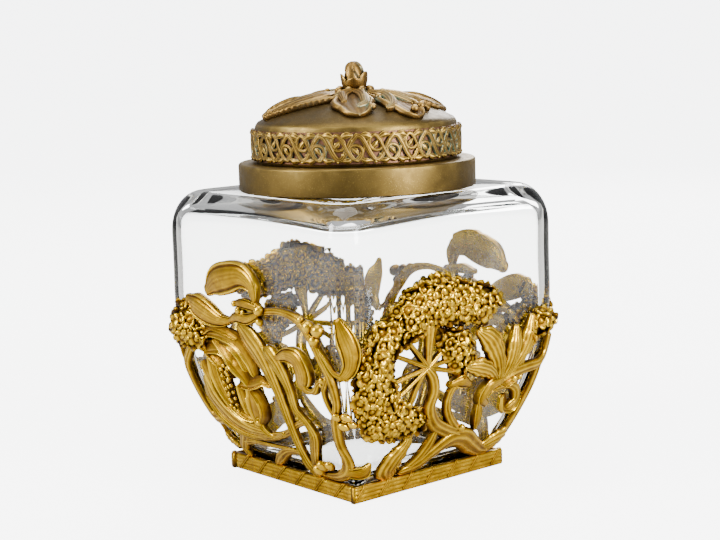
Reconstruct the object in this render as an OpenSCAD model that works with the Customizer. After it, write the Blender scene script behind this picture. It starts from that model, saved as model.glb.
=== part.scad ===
// Square glass inkwell in a gilt openwork mount, with a round hinged lid.
// Millimetres. +Z is up, the origin is under the middle of the base, and the front is -Y.

/* [Glass] */
// Half width of the glass body at its widest
glass_half = 44.5; // [40:0.5:54]
// Half width of the glass where it stands on the base frame
glass_foot_half = 26.5; // [24:0.5:30]
// Height of the glass shoulder above the table
glass_top = 90.8; // [76:0.2:110]
// Height at which the sides become upright
belly_z = 60; // [50:1:64]
// Wall of the glass
glass_wall = 2.8; // [2:0.1:4.5]
// Thickness of the glass bottom
glass_bottom = 6; // [4:0.5:9]
// Outer radius of the glass neck
neck_r = 33; // [28:0.5:34]
// Height of the glass neck above the shoulder
neck_h = 6; // [4:0.5:6.5]
// Radius of the mouth
mouth_r = 27; // [20:0.5:27.5]

/* [Base frame] */
// Height of a base rail
rail_h = 5; // [4:0.25:6.5]
// Thickness of a base rail from its reeds to its inner face
rail_t = 2.2; // [1.8:0.1:2.3]
// Thickness of the ledge that carries the glass
ledge_t = 1.5; // [1:0.1:2]
// Reach of the ledge under the glass
ledge_reach = 5; // [4:0.5:7]
// Number of reeds on a rail
reeds = 4; // [3:1:5]

/* [Openwork] */
// Gap between the openwork and the glass
openwork_gap = 0.4; // [0.35:0.05:0.6]
// Height of the relief, as a share of its usual height
relief = 1; // [0.7:0.05:1.3]

/* [Collar] */
// Outer radius of the collar
collar_r = 37.3; // [35.5:0.1:37.5]
// Height of the collar
collar_h = 8.6; // [7.6:0.1:12]
// Wall of the collar
collar_wall = 1.4; // [1:0.1:2]
// Radius of the rounded top edge of the collar
collar_edge_r = 0.8; // [0.4:0.1:1]
// Gap between the glass neck and the cement that fills the collar
neck_gap = 0.2; // [0.1:0.05:0.4]
// Outer radius of the inner rim that guides the lid
rim_r = 29.8; // [29:0.1:29.9]
// Wall of the inner rim
rim_wall = 1.2; // [0.8:0.1:1.5]
// Height of the inner rim above the collar
rim_h = 2.4; // [1.5:0.1:2.6]

/* [Lid] */
// Outer radius of the lid shell
lid_r = 31.7; // [31.4:0.1:32]
// Height of the lid's upright side
lid_side = 12; // [11:0.25:15]
// Rise of the lid's dome above its side
dome_rise = 8.2; // [6:0.2:11]
// Wall of the lid shell
lid_wall = 0.8; // [0.6:0.1:0.9]
// Gap between the closed lid and the collar
lid_gap = 0.15; // [0.1:0.05:0.3]
// Thickness of the scroll band round the lid
band_t = 1.2; // [0.8:0.1:1.3]
// Height of the scroll band
band_h = 10; // [9:0.25:10.5]
// Height of the bud on top of the lid
finial_h = 10.2; // [8:0.2:14]
// Radius of the bud at its widest
finial_r = 3.6; // [2.6:0.1:4.6]
// Radius of the screw under the bud
stud_r = 1.5; // [1:0.1:2]

/* [Hinge] */
// Width of the hinge
hinge_w = 12; // [10:0.5:14]
// Outer radius of a hinge knuckle
knuckle_r = 1.5; // [1.4:0.05:1.6]
// Radius of the hinge pin
pin_r = 0.7; // [0.5:0.05:0.8]
// Gap between the pin and the lid's knuckle
pin_clearance = 0.05; // [0.02:0.01:0.09]
// Gap between neighbouring knuckles
knuckle_gap = 0.2; // [0.15:0.05:0.3]
// Thickness of the fixed hinge leaf
leaf_t = 0.6; // [0.5:0.05:0.8]

/* [Hidden] */
$fn = 64;
gilt = "goldenrod";
old_brass = "darkgoldenrod";
glass_colour = [0.85, 0.92, 0.92, 0.4];

// Heights that stack up from the table
foot_z = ledge_t;
collar_z = glass_top;
collar_top = collar_z + collar_h;
lid_z = collar_top + lid_gap;
shoulder_z = lid_z + lid_side;
dome_top = shoulder_z + dome_rise;

// The hinge pin, above the ledge behind the lid, with air round its knuckles
hinge_air = 0.5;
pin_y = lid_r + band_t + knuckle_r + hinge_air;
pin_z = collar_top + knuckle_r + hinge_air;

// ---- Shape of the glass ----

// Exponent of the curve that draws the sides in towards the foot
belly_power = 2.05;
// Height and depth of the rounding at the shoulder
shoulder_h = 12.8;
shoulder_in = 7;

function clamp(t) = min(1, max(0, t));
function below(z) = let(t = clamp((z - foot_z) / (belly_z - foot_z)))
    (glass_half - glass_foot_half) * pow(1 - t, belly_power);
function above(z) = let(t = clamp((z - glass_top + shoulder_h) / shoulder_h))
    shoulder_in * (1 - sqrt(1 - t * t));
// Half width of the glass at a height
function half_w(z) = glass_half - below(z) - above(z);
// Radius of the glass corners at a height
function corner_r(z) = min(7.5, 4.5 + 0.045 * z);

// A point on the glass: u runs along a face from its middle, in millimetres, and past the
// corner on to the next face; z is the height; lift is the distance off the glass.
// The run is measured a little off the glass, where the openwork lies.
run_off = 1.5;
function on_glass(u, z, lift) = let(
    w = half_w(z), r = corner_r(z), flat = w - r,
    corner = (r + run_off) * PI / 2, a = abs(u), s = u < 0 ? -1 : 1,
    turn = clamp((a - flat) / corner) * 90,
    before = min(a, flat), after = max(0, a - flat - corner))
    [s * (before + (r + lift) * sin(turn)),
     after - flat - (r + lift) * cos(turn), z];

// ---- Relief work ----
// A route is a stem or a leaf, and its points are [x, y, half width, height]. A route of one
// point is a round boss.

// Side of the triangles that the relief is made of, and the thinnest stem they can carry
cell = 2.6;
thinnest = 0.55 * cell;
row_step = cell * sqrt(3) / 2;
edge_t = 1;

// How far inside one length of a route a point lies, and how high the relief is there
function reach(p, a, b) = let(
    along = [b[0] - a[0], b[1] - a[1]], run = along * along,
    t = run > 0 ? clamp(([p[0] - a[0], p[1] - a[1]] * along) / run) : 0,
    half = max(thinnest, a[2] + t * (b[2] - a[2])),
    height = a[3] + t * (b[3] - a[3]),
    d = norm([p[0] - a[0] - t * along[0], p[1] - a[1] - t * along[1]]))
    [half - d, d < half ? edge_t + (height - edge_t) * (1 - pow(d / half, 2)) : 0];

// The lengths of all routes, as pairs of points
function lengths(routes) = [for (route = routes) let(last = len(route) - 1)
    each last == 0 ? [[route[0], route[0]]] : [for (i = [1:last]) [route[i - 1], route[i]]]];

// A grid point with its reach into the relief: [x, y, reach, height]
function grid_point(p, pairs) = let(all = [for (s = pairs) reach(p, s[0], s[1])])
    [p[0], p[1], max([for (r = all) r[0]]), max([for (r = all) r[1]])];

// The point on an edge of the grid where the relief ends, from a point inside to one outside
function rim_point(a, b) = let(t = min(0.85, max(0.15, a[2] / (a[2] - b[2]))))
    [a[0] + t * (b[0] - a[0]), a[1] + t * (b[1] - a[1]), 0, edge_t];

// What is left of a triangle of the grid inside the relief
function inside_part(tri) = [for (i = [0:2]) let(a = tri[i], b = tri[(i + 1) % 3]) each [
    if (a[2] > 0) a,
    if (a[2] > 0 && b[2] <= 0) rim_point(a, b),
    if (a[2] <= 0 && b[2] > 0) rim_point(b, a)]];

function reversed(list) = [for (i = [len(list) - 1:-1:0]) list[i]];
function fan(list) = [for (i = [1:len(list) - 2]) each [list[0], list[i], list[i + 1]]];

// The routes as one closed solid on a surface: at(x, y, lift) gives its points, and y_low is
// the level where it is cut off square
module relief_solid(routes, at, x_low, x_high, y_low, y_high, gap) {
    pairs = lengths(routes);
    columns = ceil((x_high - x_low) / cell);
    rows = ceil((y_high - y_low) / row_step);
    grid = [for (j = [0:rows]) [for (i = [0:columns])
        grid_point([x_low + (i + (j % 2) / 2) * cell, y_low + j * row_step], pairs)]];
    parts = [for (j = [0:rows - 1]) for (i = [0:columns - 1]) let(
        odd = j % 2, a = grid[j][i], b = grid[j][i + 1], c = grid[j + 1][i], d = grid[j + 1][i + 1])
        each [for (tri = odd == 1 ? [[a, b, d], [c, a, d]] : [[a, b, c], [c, b, d]])
            let(part = inside_part(tri)) if (len(part) > 2) part]];
    points = [for (part = parts) let(
        top = [for (p = part) at(p[0], p[1], gap + p[3] * relief)],
        low = [for (p = part) at(p[0], p[1], gap)], n = len(part)) each concat(
        fan(reversed(top)), fan(low),
        [for (k = [0:n - 1]) let(m = (k + 1) % n,
            is_rim = part[k][2] == 0 && part[m][2] == 0,
            is_foot = part[k][1] == y_low && part[m][1] == y_low)
            if (is_rim || is_foot) each [low[k], top[k], low[m], low[m], top[k], top[m]]])];
    polyhedron(points, [for (k = [0:3:len(points) - 1]) [k, k + 1, k + 2]]);
}

// ---- Glass ----

glass_sides = 40;
neck_z = glass_top + neck_h;

// Direction of each point round the glass, from the middle of a side
function around(i) = i * 360 / glass_sides + 360 / glass_sides / 2;
// A ring of the rounded square
function square_ring(w, r, z) = [for (i = [0:glass_sides - 1])
    let(a = around(i), q = floor(a / 90) * 90, t = a - q - 45, n = glass_sides / 4,
        k = i % n, flat = w - r,
        corner_steps = n - 4, c = max(0, min(corner_steps, k - 1.5)) / corner_steps,
        straight = k < 1.5 ? -(1.5 - k) : k > n - 2.5 ? k - (n - 2.5) : 0,
        x = flat + r * cos(c * 90), y = flat + r * sin(c * 90),
        p = straight < 0 ? [w, flat * (1 + straight / 2)] :
            straight > 0 ? [flat * (1 - straight / 2), w] : [x, y])
    [p[0] * cos(q) - p[1] * sin(q), p[0] * sin(q) + p[1] * cos(q), z]];
function round_ring(r, z) = [for (i = [0:glass_sides - 1])
    [r * cos(around(i)), r * sin(around(i)), z]];

function outer_ring(z) = square_ring(half_w(z), corner_r(z), z);
function inner_ring(z) = square_ring(half_w(z) - glass_wall, corner_r(z) - 1, z);

cavity_z = foot_z + glass_bottom;
cavity_top = glass_top - 8;
side_levels = [for (t = [0:1 / 9:1]) foot_z + (belly_z - foot_z) * t * (0.6 + 0.4 * t)];
shoulder_levels = [for (t = [0:0.2:1]) glass_top - shoulder_h * (1 - sin(t * 90))];
cavity_levels = [for (t = [1:-1 / 8:0]) cavity_z + 3 + (cavity_top - cavity_z - 3) * t];

module glass_body() {
    rings = concat(
        [for (z = side_levels) outer_ring(z)],
        [for (z = shoulder_levels) outer_ring(z)],
        [round_ring(neck_r, glass_top), round_ring(neck_r, neck_z),
         round_ring(mouth_r, neck_z), round_ring(mouth_r, glass_top - 3.5)],
        [square_ring(half_w(cavity_top) - glass_wall - 4, corner_r(cavity_top), cavity_top + 3)],
        [for (z = cavity_levels) inner_ring(z)],
        [square_ring(half_w(cavity_z + 3) - glass_wall - 4, corner_r(cavity_z) - 1, cavity_z)]);
    n = len(rings);
    m = glass_sides;
    points = concat([for (r = rings) each r], [[0, 0, foot_z], [0, 0, cavity_z]]);
    faces = concat(
        [for (k = [0:m - 1]) [n * m, k, (k + 1) % m]],
        [for (k = [0:m - 1]) let(e = (n - 1) * m) [n * m + 1, e + (k + 1) % m, e + k]],
        [for (i = [0:n - 2]) for (k = [0:m - 1])
            let(a = i * m + k, b = i * m + (k + 1) % m) each [[a, a + m, b], [b, a + m, b + m]]]);
    color(glass_colour) polyhedron(points, faces);
}

// ---- Base frame ----

// The rails stand as far from the glass as the openwork does
rail_inner = half_w(rail_h) + openwork_gap;
base_half = rail_inner + rail_t;
ledge_inner = rail_inner - ledge_reach;
reed_r = rail_h / reeds / 2;

// A rail along Y at the +X side, with its reeds outwards and its ledge under the glass
module rail(half_length, half_ledge) {
    color(gilt) union() {
        translate([0, half_length, 0]) rotate([90, 0, 0])
            linear_extrude(2 * half_length) {
                translate([rail_inner, 0]) square([rail_t - reed_r, rail_h]);
                for (i = [0:reeds - 1])
                    translate([base_half - reed_r, reed_r * (2 * i + 1)]) circle(reed_r);
            }
        translate([ledge_inner, -half_ledge, 0])
            cube([ledge_reach + 0.2, 2 * half_ledge, ledge_t]);
    }
}

module base_rail_right() rail(base_half, rail_inner);
module base_rail_left() rotate([0, 0, 180]) rail(base_half, rail_inner);
module base_rail_back() rotate([0, 0, 90]) rail(rail_inner, ledge_inner);
module base_rail_front() rotate([0, 0, -90]) rail(rail_inner, ledge_inner);

// ---- Orchid panel ----
// A route's points are [u, z, half width, height].

orchid_stems = [
    // arching flower stem down to the base
    [[4, 56.5, 1.6, 2], [11, 58, 1.3, 1.8], [18, 58.5, 1.3, 1.8], [25, 57, 1.6, 2],
     [30, 53, 1.9, 2.2], [33.5, 47, 1.6, 2], [36.8, 41, 1.7, 2.2], [37, 34, 1.5, 2.2],
     [34.2, 27, 1.8, 2.4], [32.2, 20, 1.8, 2.4], [31.6, 14, 1.8, 2.4], [28.5, 9.8, 1.9, 2.2],
     [23, 7.2, 1.6, 2], [16, 6.2, 1.4, 1.8]],
    // stalk of the corner petal
    [[33, 49.5, 0.9, 1.6], [36, 46.2, 1, 1.6], [38.6, 42.8, 0.9, 1.5], [42, 41.6, 1.1, 1.5]],
    // loop beside the stem
    [[34.5, 40, 1.1, 1.8], [32.2, 36.5, 0.9, 1.6], [32.6, 32.5, 0.9, 1.6], [35, 28.5, 1, 1.8]],
    // twisted branch of the comma petal
    [[24, 36, 1.2, 1.8], [28, 36, 1.3, 1.9], [30.6, 38.8, 1, 1.7], [34.5, 40, 1.3, 1.8]],
    // tall leaf down to the base
    [[-1, 49, 3.4, 1.8], [3.6, 45, 4.2, 2.2], [8.2, 38.5, 3, 2.4], [10.6, 31, 2.3, 2.4],
     [11, 22, 1.9, 2.4], [10.8, 14, 1.8, 2.4], [11.2, 9, 2.2, 2.6], [11.8, 5, 2, 2.4]],
    // rolled leaf, knee and foot
    [[10, 45, 3.4, 2.4], [13.6, 41, 3.1, 2.6], [16, 35, 1.8, 2.2], [16.4, 28.5, 1.6, 2.2],
     [19.8, 24.8, 1.6, 2.2], [20.8, 20.5, 1.9, 2.4], [17.8, 15, 1.8, 2.2], [14.5, 9, 1.6, 2.2],
     [12.5, 5, 1.8, 2.2]],
    // stem that crosses behind the leaves
    [[20, 25, 1.2, 1.4], [14, 23, 1.1, 1.4], [7, 19, 1.2, 1.4], [0, 16.5, 1.5, 1.6],
     [-8, 14.8, 1.8, 1.8]],
    // low stems and foot at the middle
    [[10, 12.6, 0.8, 1.4], [3, 11.8, 1.3, 1.6], [-3, 8.6, 2, 2], [-7, 5, 1.6, 2]],
    [[6, 12.8, 0.7, 1.4], [-4, 12.2, 0.9, 1.4], [-14, 11.8, 1.1, 1.6], [-19.5, 11, 1.4, 1.8]],
    // left foot
    [[-17, 14.5, 2.2, 2], [-20, 11.5, 2, 2], [-22.5, 8, 1.8, 2], [-22, 5, 1.8, 2]],
    // stem round the left corner
    [[-33, 41, 1.6, 2], [-37.4, 35, 1.6, 2], [-36.8, 28, 1.5, 2], [-34.4, 21, 1.8, 2],
     [-31.6, 17.5, 2.4, 2], [-26, 18.5, 3, 2]]
];

orchid_petals = [
    // upper crescent
    [[5, 60, 1, 1.8], [3.8, 65, 2.6, 2.2], [-1.2, 67.8, 4, 2.4], [-8, 66.8, 5.2, 2.6],
     [-14.2, 64.8, 5, 2.4], [-18.8, 61.6, 2.4, 1.8]],
    // left petal
    [[-8, 53.2, 1, 1.6], [-13, 52.6, 2.2, 2], [-19, 54, 4, 2.4], [-25, 56, 4.2, 2.4],
     [-29.8, 57.4, 2.2, 1.8]],
    // lips of the small flower
    [[-5.5, 58.6, 0.8, 1.8], [0, 59.2, 1.9, 2.4], [5.5, 58.8, 1.5, 2.2]],
    [[-8.6, 53, 0.8, 1.6], [-4, 55, 2, 2.2], [1, 55, 2.1, 2.4], [6, 56.4, 1.4, 2.2]],
    // corner petal
    [[43, 58.2, 1.6, 1.6], [44.4, 54, 3.2, 2], [45.2, 49.5, 3.2, 2.2], [44.4, 45.4, 2.3, 2],
     [43.2, 42.6, 1.9, 1.8], [40.5, 41.4, 1, 1.5]],
    // comma petal
    [[13.5, 44.2, 1.2, 1.8], [18.5, 45.9, 2.4, 2.2], [23.4, 45, 3.5, 2.4], [25, 41, 3.9, 2.4],
     [23.8, 37.6, 2.6, 2.2], [24.8, 35.6, 1.3, 1.8]],
    // hooded petals of the big flower
    [[-24, 41, 1.2, 2.4], [-20, 42.4, 2.3, 3.6], [-14.5, 42.8, 2.4, 3.6], [-10, 40, 1.6, 3]],
    [[-23, 48, 1, 1.8], [-15, 47.4, 2, 2.6], [-8, 46.4, 2.4, 3], [-2.5, 43.6, 2.4, 2.6],
     [0, 39, 1.6, 2.2]],
    [[-11.5, 41.5, 1.6, 3], [-7.2, 39.2, 3, 4.2], [-4.6, 35.5, 2.6, 3.4]],
    [[-24, 38.5, 2.6, 2], [-19.6, 36.5, 2.6, 3], [-18.6, 31.5, 2.4, 3.2], [-15.8, 26.6, 2, 3.2],
     [-11.6, 22.8, 2.2, 3.6], [-7.8, 21.6, 1.4, 3]],
    [[-4, 32, 2.6, 2], [-3, 27.4, 5.4, 2.6], [-5, 22.6, 3.6, 2.4], [-6.4, 18.5, 1.6, 2.2]],
    [[-8, 33.4, 2, 2.6], [-1.6, 34.4, 2.4, 3.2], [3.4, 35.6, 1.8, 2.8], [6.6, 34, 0.7, 2]],
    // broad leaf under the flower
    [[-27, 30.5, 3, 1.8], [-25.6, 25.6, 5, 2.2], [-20, 19.4, 5, 2.4], [-13, 16.6, 3.4, 2.2],
     [-5, 16.6, 1.8, 2]],
    // tip of the stem's leaf at the front corner
    [[27, 9, 1.4, 1.8], [32.6, 9.6, 2.4, 2.2], [36, 10.8, 1.3, 1.8], [38.4, 12.4, 0.4, 1.2]]
];

orchid_beads = [
    // berries by the stem
    [[8, 58.2, 1.8, 2.8]], [[7.4, 54.6, 1.5, 2.6]], [[31, 56, 2.1, 3]], [[35.6, 55, 2.2, 3]],
    [[33.2, 52.2, 2, 2.8]], [[27, 57.6, 1.2, 2.4]],
    // stamens of the small flower
    [[-5, 58.8, 1.1, 2.6]], [[-2.8, 57, 1.5, 2.8]], [[-0.6, 56.2, 1.4, 2.6]],
    // lobes by the foot
    [[17, 8.4, 2.2, 2.4]], [[19.8, 10.6, 2.1, 2.4]], [[22.8, 10.6, 1.9, 2.2]],
    // florets at the front corner
    [[36, 29.4, 1.8, 3]], [[39, 29.2, 1.8, 3]], [[37, 26.2, 1.9, 3]], [[39.6, 26.8, 1.6, 2.8]]
];

orchid_heads = [
    // heart of the big flower
    [[-20, 41, 2, 3], [-13.5, 40, 3, 4.4], [-6.6, 39, 2.6, 4]],
    [[-13.5, 39, 2.6, 4.2], [-12.6, 33, 3.6, 4.6], [-11.4, 26, 3, 4.2], [-10, 22.6, 1.8, 3.4]],
    // florets at the left corner
    [[-24, 45.4, 2, 2.4], [-29, 46.2, 4.6, 3.6], [-33.6, 47.6, 5.6, 3.8], [-37.4, 46, 4.4, 3.6],
     [-39.4, 45.4, 3, 3]],
    [[-29.6, 55.2, 1.6, 2.4], [-33, 52.4, 3.4, 3.4], [-36.4, 49, 3, 3.2]]
];

// ---- Umbel panel ----

umbel_rays = [
    [[-12.5, 40.4, 1.6, 2.2], [-27, 46.6, 0.8, 1.6]],
    [[-12.5, 40.4, 1.6, 2.2], [-21, 50, 0.8, 1.6]],
    [[-12.5, 40.4, 1.6, 2.2], [-12.2, 52.5, 2.4, 2]],
    [[-12.5, 40.4, 1.6, 2.2], [-5.5, 46, 0.9, 1.8]],
    [[-12.5, 40.4, 1.6, 2.2], [-1.5, 37.4, 0.9, 1.8]],
    [[-12.5, 40.4, 1.6, 2.2], [-26, 37.6, 1.4, 1.8]],
    [[-12.5, 40.4, 1.6, 2.2], [-23.5, 32.4, 1, 1.6]]
];

umbel_stems = [
    // main stem of the umbel
    [[-11.9, 39.4, 1.2, 1.9], [-9.8, 37, 1.7, 2.2], [-8.4, 32.4, 1.9, 2.4], [-8.8, 27, 2.1, 2.4],
     [-5.4, 21.6, 2.4, 2.6], [0, 18, 2.6, 2.6], [6, 15, 2.8, 2.8]],
    // thin stem behind it
    [[-13.4, 39, 0.7, 1.5], [-15.6, 35, 0.9, 1.6], [-17, 30.5, 1, 1.6], [-20, 26.5, 0.9, 1.6]],
    // stem of the small curled leaf
    [[3, 33.4, 1.8, 2.2], [-0.8, 31.4, 1.4, 2], [-1.4, 26.6, 1.4, 2], [1.2, 21.8, 1.6, 2.2],
     [6, 17, 1.8, 2.4]],
    // fluted trunk between its two feet
    [[-12, 5, 1.8, 2.2], [-7, 7.2, 2.1, 2.4], [-2, 10.6, 2.6, 2.6], [4, 14, 3.2, 2.8],
     [10, 13.4, 3.6, 2.8], [15.4, 9.6, 3.4, 2.8], [20, 6.4, 2.6, 2.6], [24, 5, 2, 2.4]],
    // sprout on the trunk
    [[-3.6, 18, 1.2, 2], [-4.6, 14.4, 2, 2.4], [-7, 10, 2.1, 2.4], [-10.4, 6.4, 2, 2.2]],
    // branch to the right corner
    [[19.5, 30.4, 1.8, 2.4], [25, 32.6, 2.3, 2.6], [31, 33.4, 2.2, 2.4], [36.5, 34, 1.9, 2.2],
     [40.5, 37, 1.7, 2], [41, 42, 1.6, 2]],
    // stem up the right corner
    [[30.6, 9.6, 2, 2.2], [31.4, 14, 1.8, 2.2], [34.2, 21, 1.6, 2], [36.4, 28, 1.6, 2],
     [37.4, 34.5, 1.6, 2]],
    // hooked bud
    [[19, 28.6, 1.5, 2.2], [24.4, 28.9, 1.6, 2.4], [28.2, 26.4, 1.6, 2.4], [29, 22.8, 1.6, 2.4],
     [26.4, 20.9, 1.8, 2.6]]
];

umbel_petals = [
    // ruffled leaf at the left foot
    [[-14.4, 20, 1.2, 1.8], [-15, 16, 2.4, 2.2], [-17.8, 11.6, 4.2, 2.6], [-19, 7.6, 4.8, 2.6],
     [-18, 5, 3.6, 2.2]],
    // petals of the fan
    [[9.4, 48.2, 2.2, 2.2], [13, 45.4, 4, 3], [16.6, 40, 3.4, 3.2], [18.6, 35, 2.6, 3],
     [19.2, 29, 1.8, 2.4]],
    [[24.2, 46.4, 1.6, 2.2], [24, 42.6, 3.2, 3.2], [23, 37, 2.8, 3.2], [20.8, 31, 1.8, 2.4]],
    [[31, 49, 1.8, 2], [30.4, 45, 3.4, 2.8], [27.6, 38.6, 3.2, 2.8], [22, 31.4, 1.8, 2.4]],
    [[5, 37.6, 1.8, 2.2], [9.6, 37, 3.2, 3.2], [14.4, 34.8, 2.6, 3], [19, 30, 1.8, 2.4]],
    // curled leaf
    [[-1.6, 33.4, 1.2, 2], [2, 33.8, 2.2, 2.8], [5.2, 32.4, 1.4, 2.2]],
    // calyx and hanging bud
    [[19, 31, 2, 2.6], [14.6, 29.6, 2.6, 3], [12.6, 25.8, 2, 2.8], [15.4, 24, 1.2, 2.2]],
    [[12.4, 25, 1, 2], [12.9, 20.6, 1.4, 2.6], [14.2, 15.6, 0.8, 2]],
    // broad leaf at the right foot
    [[20.5, 6, 2.2, 2], [25.6, 8.2, 3.4, 2.6], [30.4, 9.6, 3.6, 2.6], [35, 9.4, 2, 2]]
];

umbel_heads = [
    // left arm of the umbel, from its foot up
    [[-13.4, 23.4, 3, 2.4], [-19, 24.6, 5, 3.4], [-27.6, 27, 6.4, 3.8], [-32, 34, 7, 4],
     [-33.6, 43, 6, 4], [-30.6, 51, 5.6, 4], [-26, 54.6, 3, 3]],
    // crown of the umbel
    [[-28, 49.6, 3, 2.6], [-22, 55.6, 6.4, 4], [-14.4, 59.4, 7.4, 4.2], [-6, 60, 7.4, 4.2],
     [0, 58.6, 5.4, 4], [6, 57.2, 6, 4], [11.6, 57, 5, 3.6], [14.6, 56.6, 2.6, 2.4]],
    // small head beside the hub
    [[-5.8, 47.6, 3, 2.6], [-1.4, 45.4, 5.4, 4], [1.2, 41.4, 5, 4], [0.8, 37, 2.4, 2.6]],
    // florets at the right corner
    [[32.4, 44.6, 2, 2.4], [35.4, 47.4, 4, 3.2], [38.4, 47, 3.8, 3.2], [40.2, 46.6, 2, 2.4]]
];

on_glass_at = function(u, z, lift) on_glass(u, z, lift);

module orchid_panel() {
    color(gilt) relief_solid(concat(orchid_stems, orchid_petals, orchid_beads, orchid_heads),
        on_glass_at, -50, 52, rail_h, 76, openwork_gap);
}

module umbel_panel() {
    color(gilt) relief_solid(concat(umbel_rays, umbel_stems, umbel_petals, umbel_heads),
        on_glass_at, -48, 48, rail_h, 72, openwork_gap);
}

module orchid_panel_front() orchid_panel();
module orchid_panel_back() rotate([0, 0, 180]) orchid_panel();
module umbel_panel_right() rotate([0, 0, 90]) umbel_panel();
module umbel_panel_left() rotate([0, 0, -90]) umbel_panel();

// ---- Collar ----

collar_bore = rim_r - rim_wall;

module collar() {
    color(old_brass) rotate_extrude() difference() {
        union() {
            translate([collar_bore, collar_z]) square([collar_r - collar_bore, collar_h - collar_edge_r]);
            translate([collar_bore, collar_z])
                square([collar_r - collar_edge_r - collar_bore, collar_h]);
            translate([collar_r - collar_edge_r, collar_top - collar_edge_r]) circle(collar_edge_r);
        }
        translate([collar_bore - 1, collar_z - 1])
            square([collar_r - collar_wall - collar_bore + 1, collar_h - collar_wall + 1]);
    }
}

// Plaster that beds the collar on the neck
module collar_cement() {
    color("linen") rotate_extrude() translate([neck_r + neck_gap, collar_z])
        square([collar_r - collar_wall - neck_r - neck_gap, collar_h - collar_wall]);
}

// Upright rim that the lid closes over
module inner_rim() {
    color(old_brass) rotate_extrude() translate([rim_r - rim_wall, collar_top])
        square([rim_wall, rim_h]);
}

// ---- Lid ----

dome_sphere_r = (lid_r * lid_r + dome_rise * dome_rise) / (2 * dome_rise);
dome_centre_z = dome_top - dome_sphere_r;
lid_edge_r = 1;
// Bare strip of the lid's side under the band
under_band = 0.6;
band_z = lid_z + under_band;

// Outline of the lid from its axis out to its rim, drawn in by an offset
function lid_outline(inset) = let(
    r = lid_r - inset, sphere = dome_sphere_r - inset, steps = 12,
    rim_angle = asin((lid_r - lid_edge_r) / dome_sphere_r))
    concat([[0, lid_z - 1], [0, dome_centre_z + sphere]],
        [for (i = [1:steps]) let(a = rim_angle * i / steps)
            [sphere * sin(a), dome_centre_z + sphere * cos(a)]],
        [[r, shoulder_z - lid_edge_r - inset / 2], [r, lid_z - 1]]);

module lid_shell() {
    color(old_brass) difference() {
        rotate_extrude() intersection() {
            difference() {
                polygon(lid_outline(0));
                polygon(lid_outline(lid_wall));
            }
            translate([0, lid_z]) square([lid_r + 1, dome_top - lid_z + 1]);
        }
        translate([0, 0, dome_top - 5]) cylinder(r = stud_r, h = 10);
    }
}

// A sector of a ring at the back of the lid, as wide as the hinge
module back_sector(r_in, r_out, z, h, width) {
    intersection() {
        rotate_extrude() translate([r_in, z]) square([r_out - r_in, h]);
        translate([-width / 2, 0, z - 1]) cube([width, r_out + 1, h + 2]);
    }
}

module lid_band() {
    color(old_brass) difference() {
        rotate_extrude() translate([lid_r, band_z]) square([band_t, band_h]);
        // the band stops short of the hinge leaf
        translate([-hinge_w / 2 - leaf_gap, 0, band_z - 1])
            cube([hinge_w + 2 * leaf_gap, lid_r + band_t + 1, band_h + 2]);
    }
}

// ---- Hinge ----

knuckle_third = hinge_w / 3;
leaf_gap = 0.3;
rivet_r = 0.6;
rivet_head = 0.3;
rivet_x = hinge_w / 3;

module knuckle(x, length, bore) {
    translate([x, pin_y, pin_z]) rotate([0, 90, 0]) difference() {
        cylinder(r = knuckle_r, h = length);
        translate([0, 0, -1]) cylinder(r = bore, h = length + 2);
    }
}

// Web that joins a knuckle to its leaf, with the pin's bore left open
module web(x, length, y, z, dy, dz, bore) {
    difference() {
        translate([x, y, z]) cube([length, dy, dz]);
        translate([x - 1, pin_y, pin_z]) rotate([0, 90, 0]) cylinder(r = bore, h = length + 2);
    }
}

module hinge_leaf_fixed() {
    outer = knuckle_third - knuckle_gap;
    leaf_in = lid_r + band_t + 0.4;
    leaf_out = collar_r - collar_edge_r;
    color(old_brass) union() for (x = [-hinge_w / 2, hinge_w / 2 - outer]) {
        knuckle(x, outer, pin_r);
        web(x, outer, pin_y - knuckle_r * 0.8, collar_top + leaf_t, knuckle_r * 1.6,
            pin_z - collar_top - leaf_t, pin_r);
        intersection() {
            back_sector(leaf_in, leaf_out, collar_top, leaf_t, hinge_w);
            translate([x, 0, collar_top - 1]) cube([outer, collar_r, 3]);
        }
        // thin strip under the middle knuckle
        back_sector(pin_y - knuckle_r * 0.8, leaf_out, collar_top, leaf_t / 2, hinge_w);
    }
}

module hinge_pin() {
    color("tan") translate([-hinge_w / 2 - 0.2, pin_y, pin_z]) rotate([0, 90, 0])
        cylinder(r = pin_r, h = hinge_w + 0.4);
}

leaf_lid_h = band_h - 1.5;

module hinge_leaf_lid() {
    middle = knuckle_third;
    color(old_brass) union() {
        knuckle(-middle / 2, middle, pin_r + pin_clearance);
        web(-middle / 2, middle, lid_r + band_t / 2, pin_z - 0.6, pin_y - lid_r - band_t / 2, 1.6,
            pin_r + pin_clearance);
        back_sector(lid_r, lid_r + band_t * 0.75, band_z + 0.6, leaf_lid_h, hinge_w);
    }
}

// Rivets stand in holes of their own depth: their heads lie on the leaves
module hinge_rivets_collar() {
    y = (lid_r + band_t + 0.4 + pin_y - knuckle_r) / 2;
    color(old_brass) for (x = [-rivet_x, rivet_x])
        translate([x, y, collar_top + leaf_t]) cylinder(r = min(rivet_r, 0.35), h = rivet_head);
}

module hinge_rivets_lid() {
    color(old_brass) for (x = [-rivet_x, rivet_x], z = [band_z + 5.2, band_z + leaf_lid_h - 1])
        intersection() {
            translate([x, lid_r - 1, z]) rotate([-90, 0, 0]) cylinder(r = rivet_r, h = 4);
            rotate_extrude() translate([lid_r + band_t * 0.75, z - 2]) square([rivet_head, 4]);
        }
}

// ---- Relief on the dome ----

dome_gap = 0.02;

// Turn of the relief, so that its flower looks to the front right corner
relief_turn = 49.5;

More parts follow.
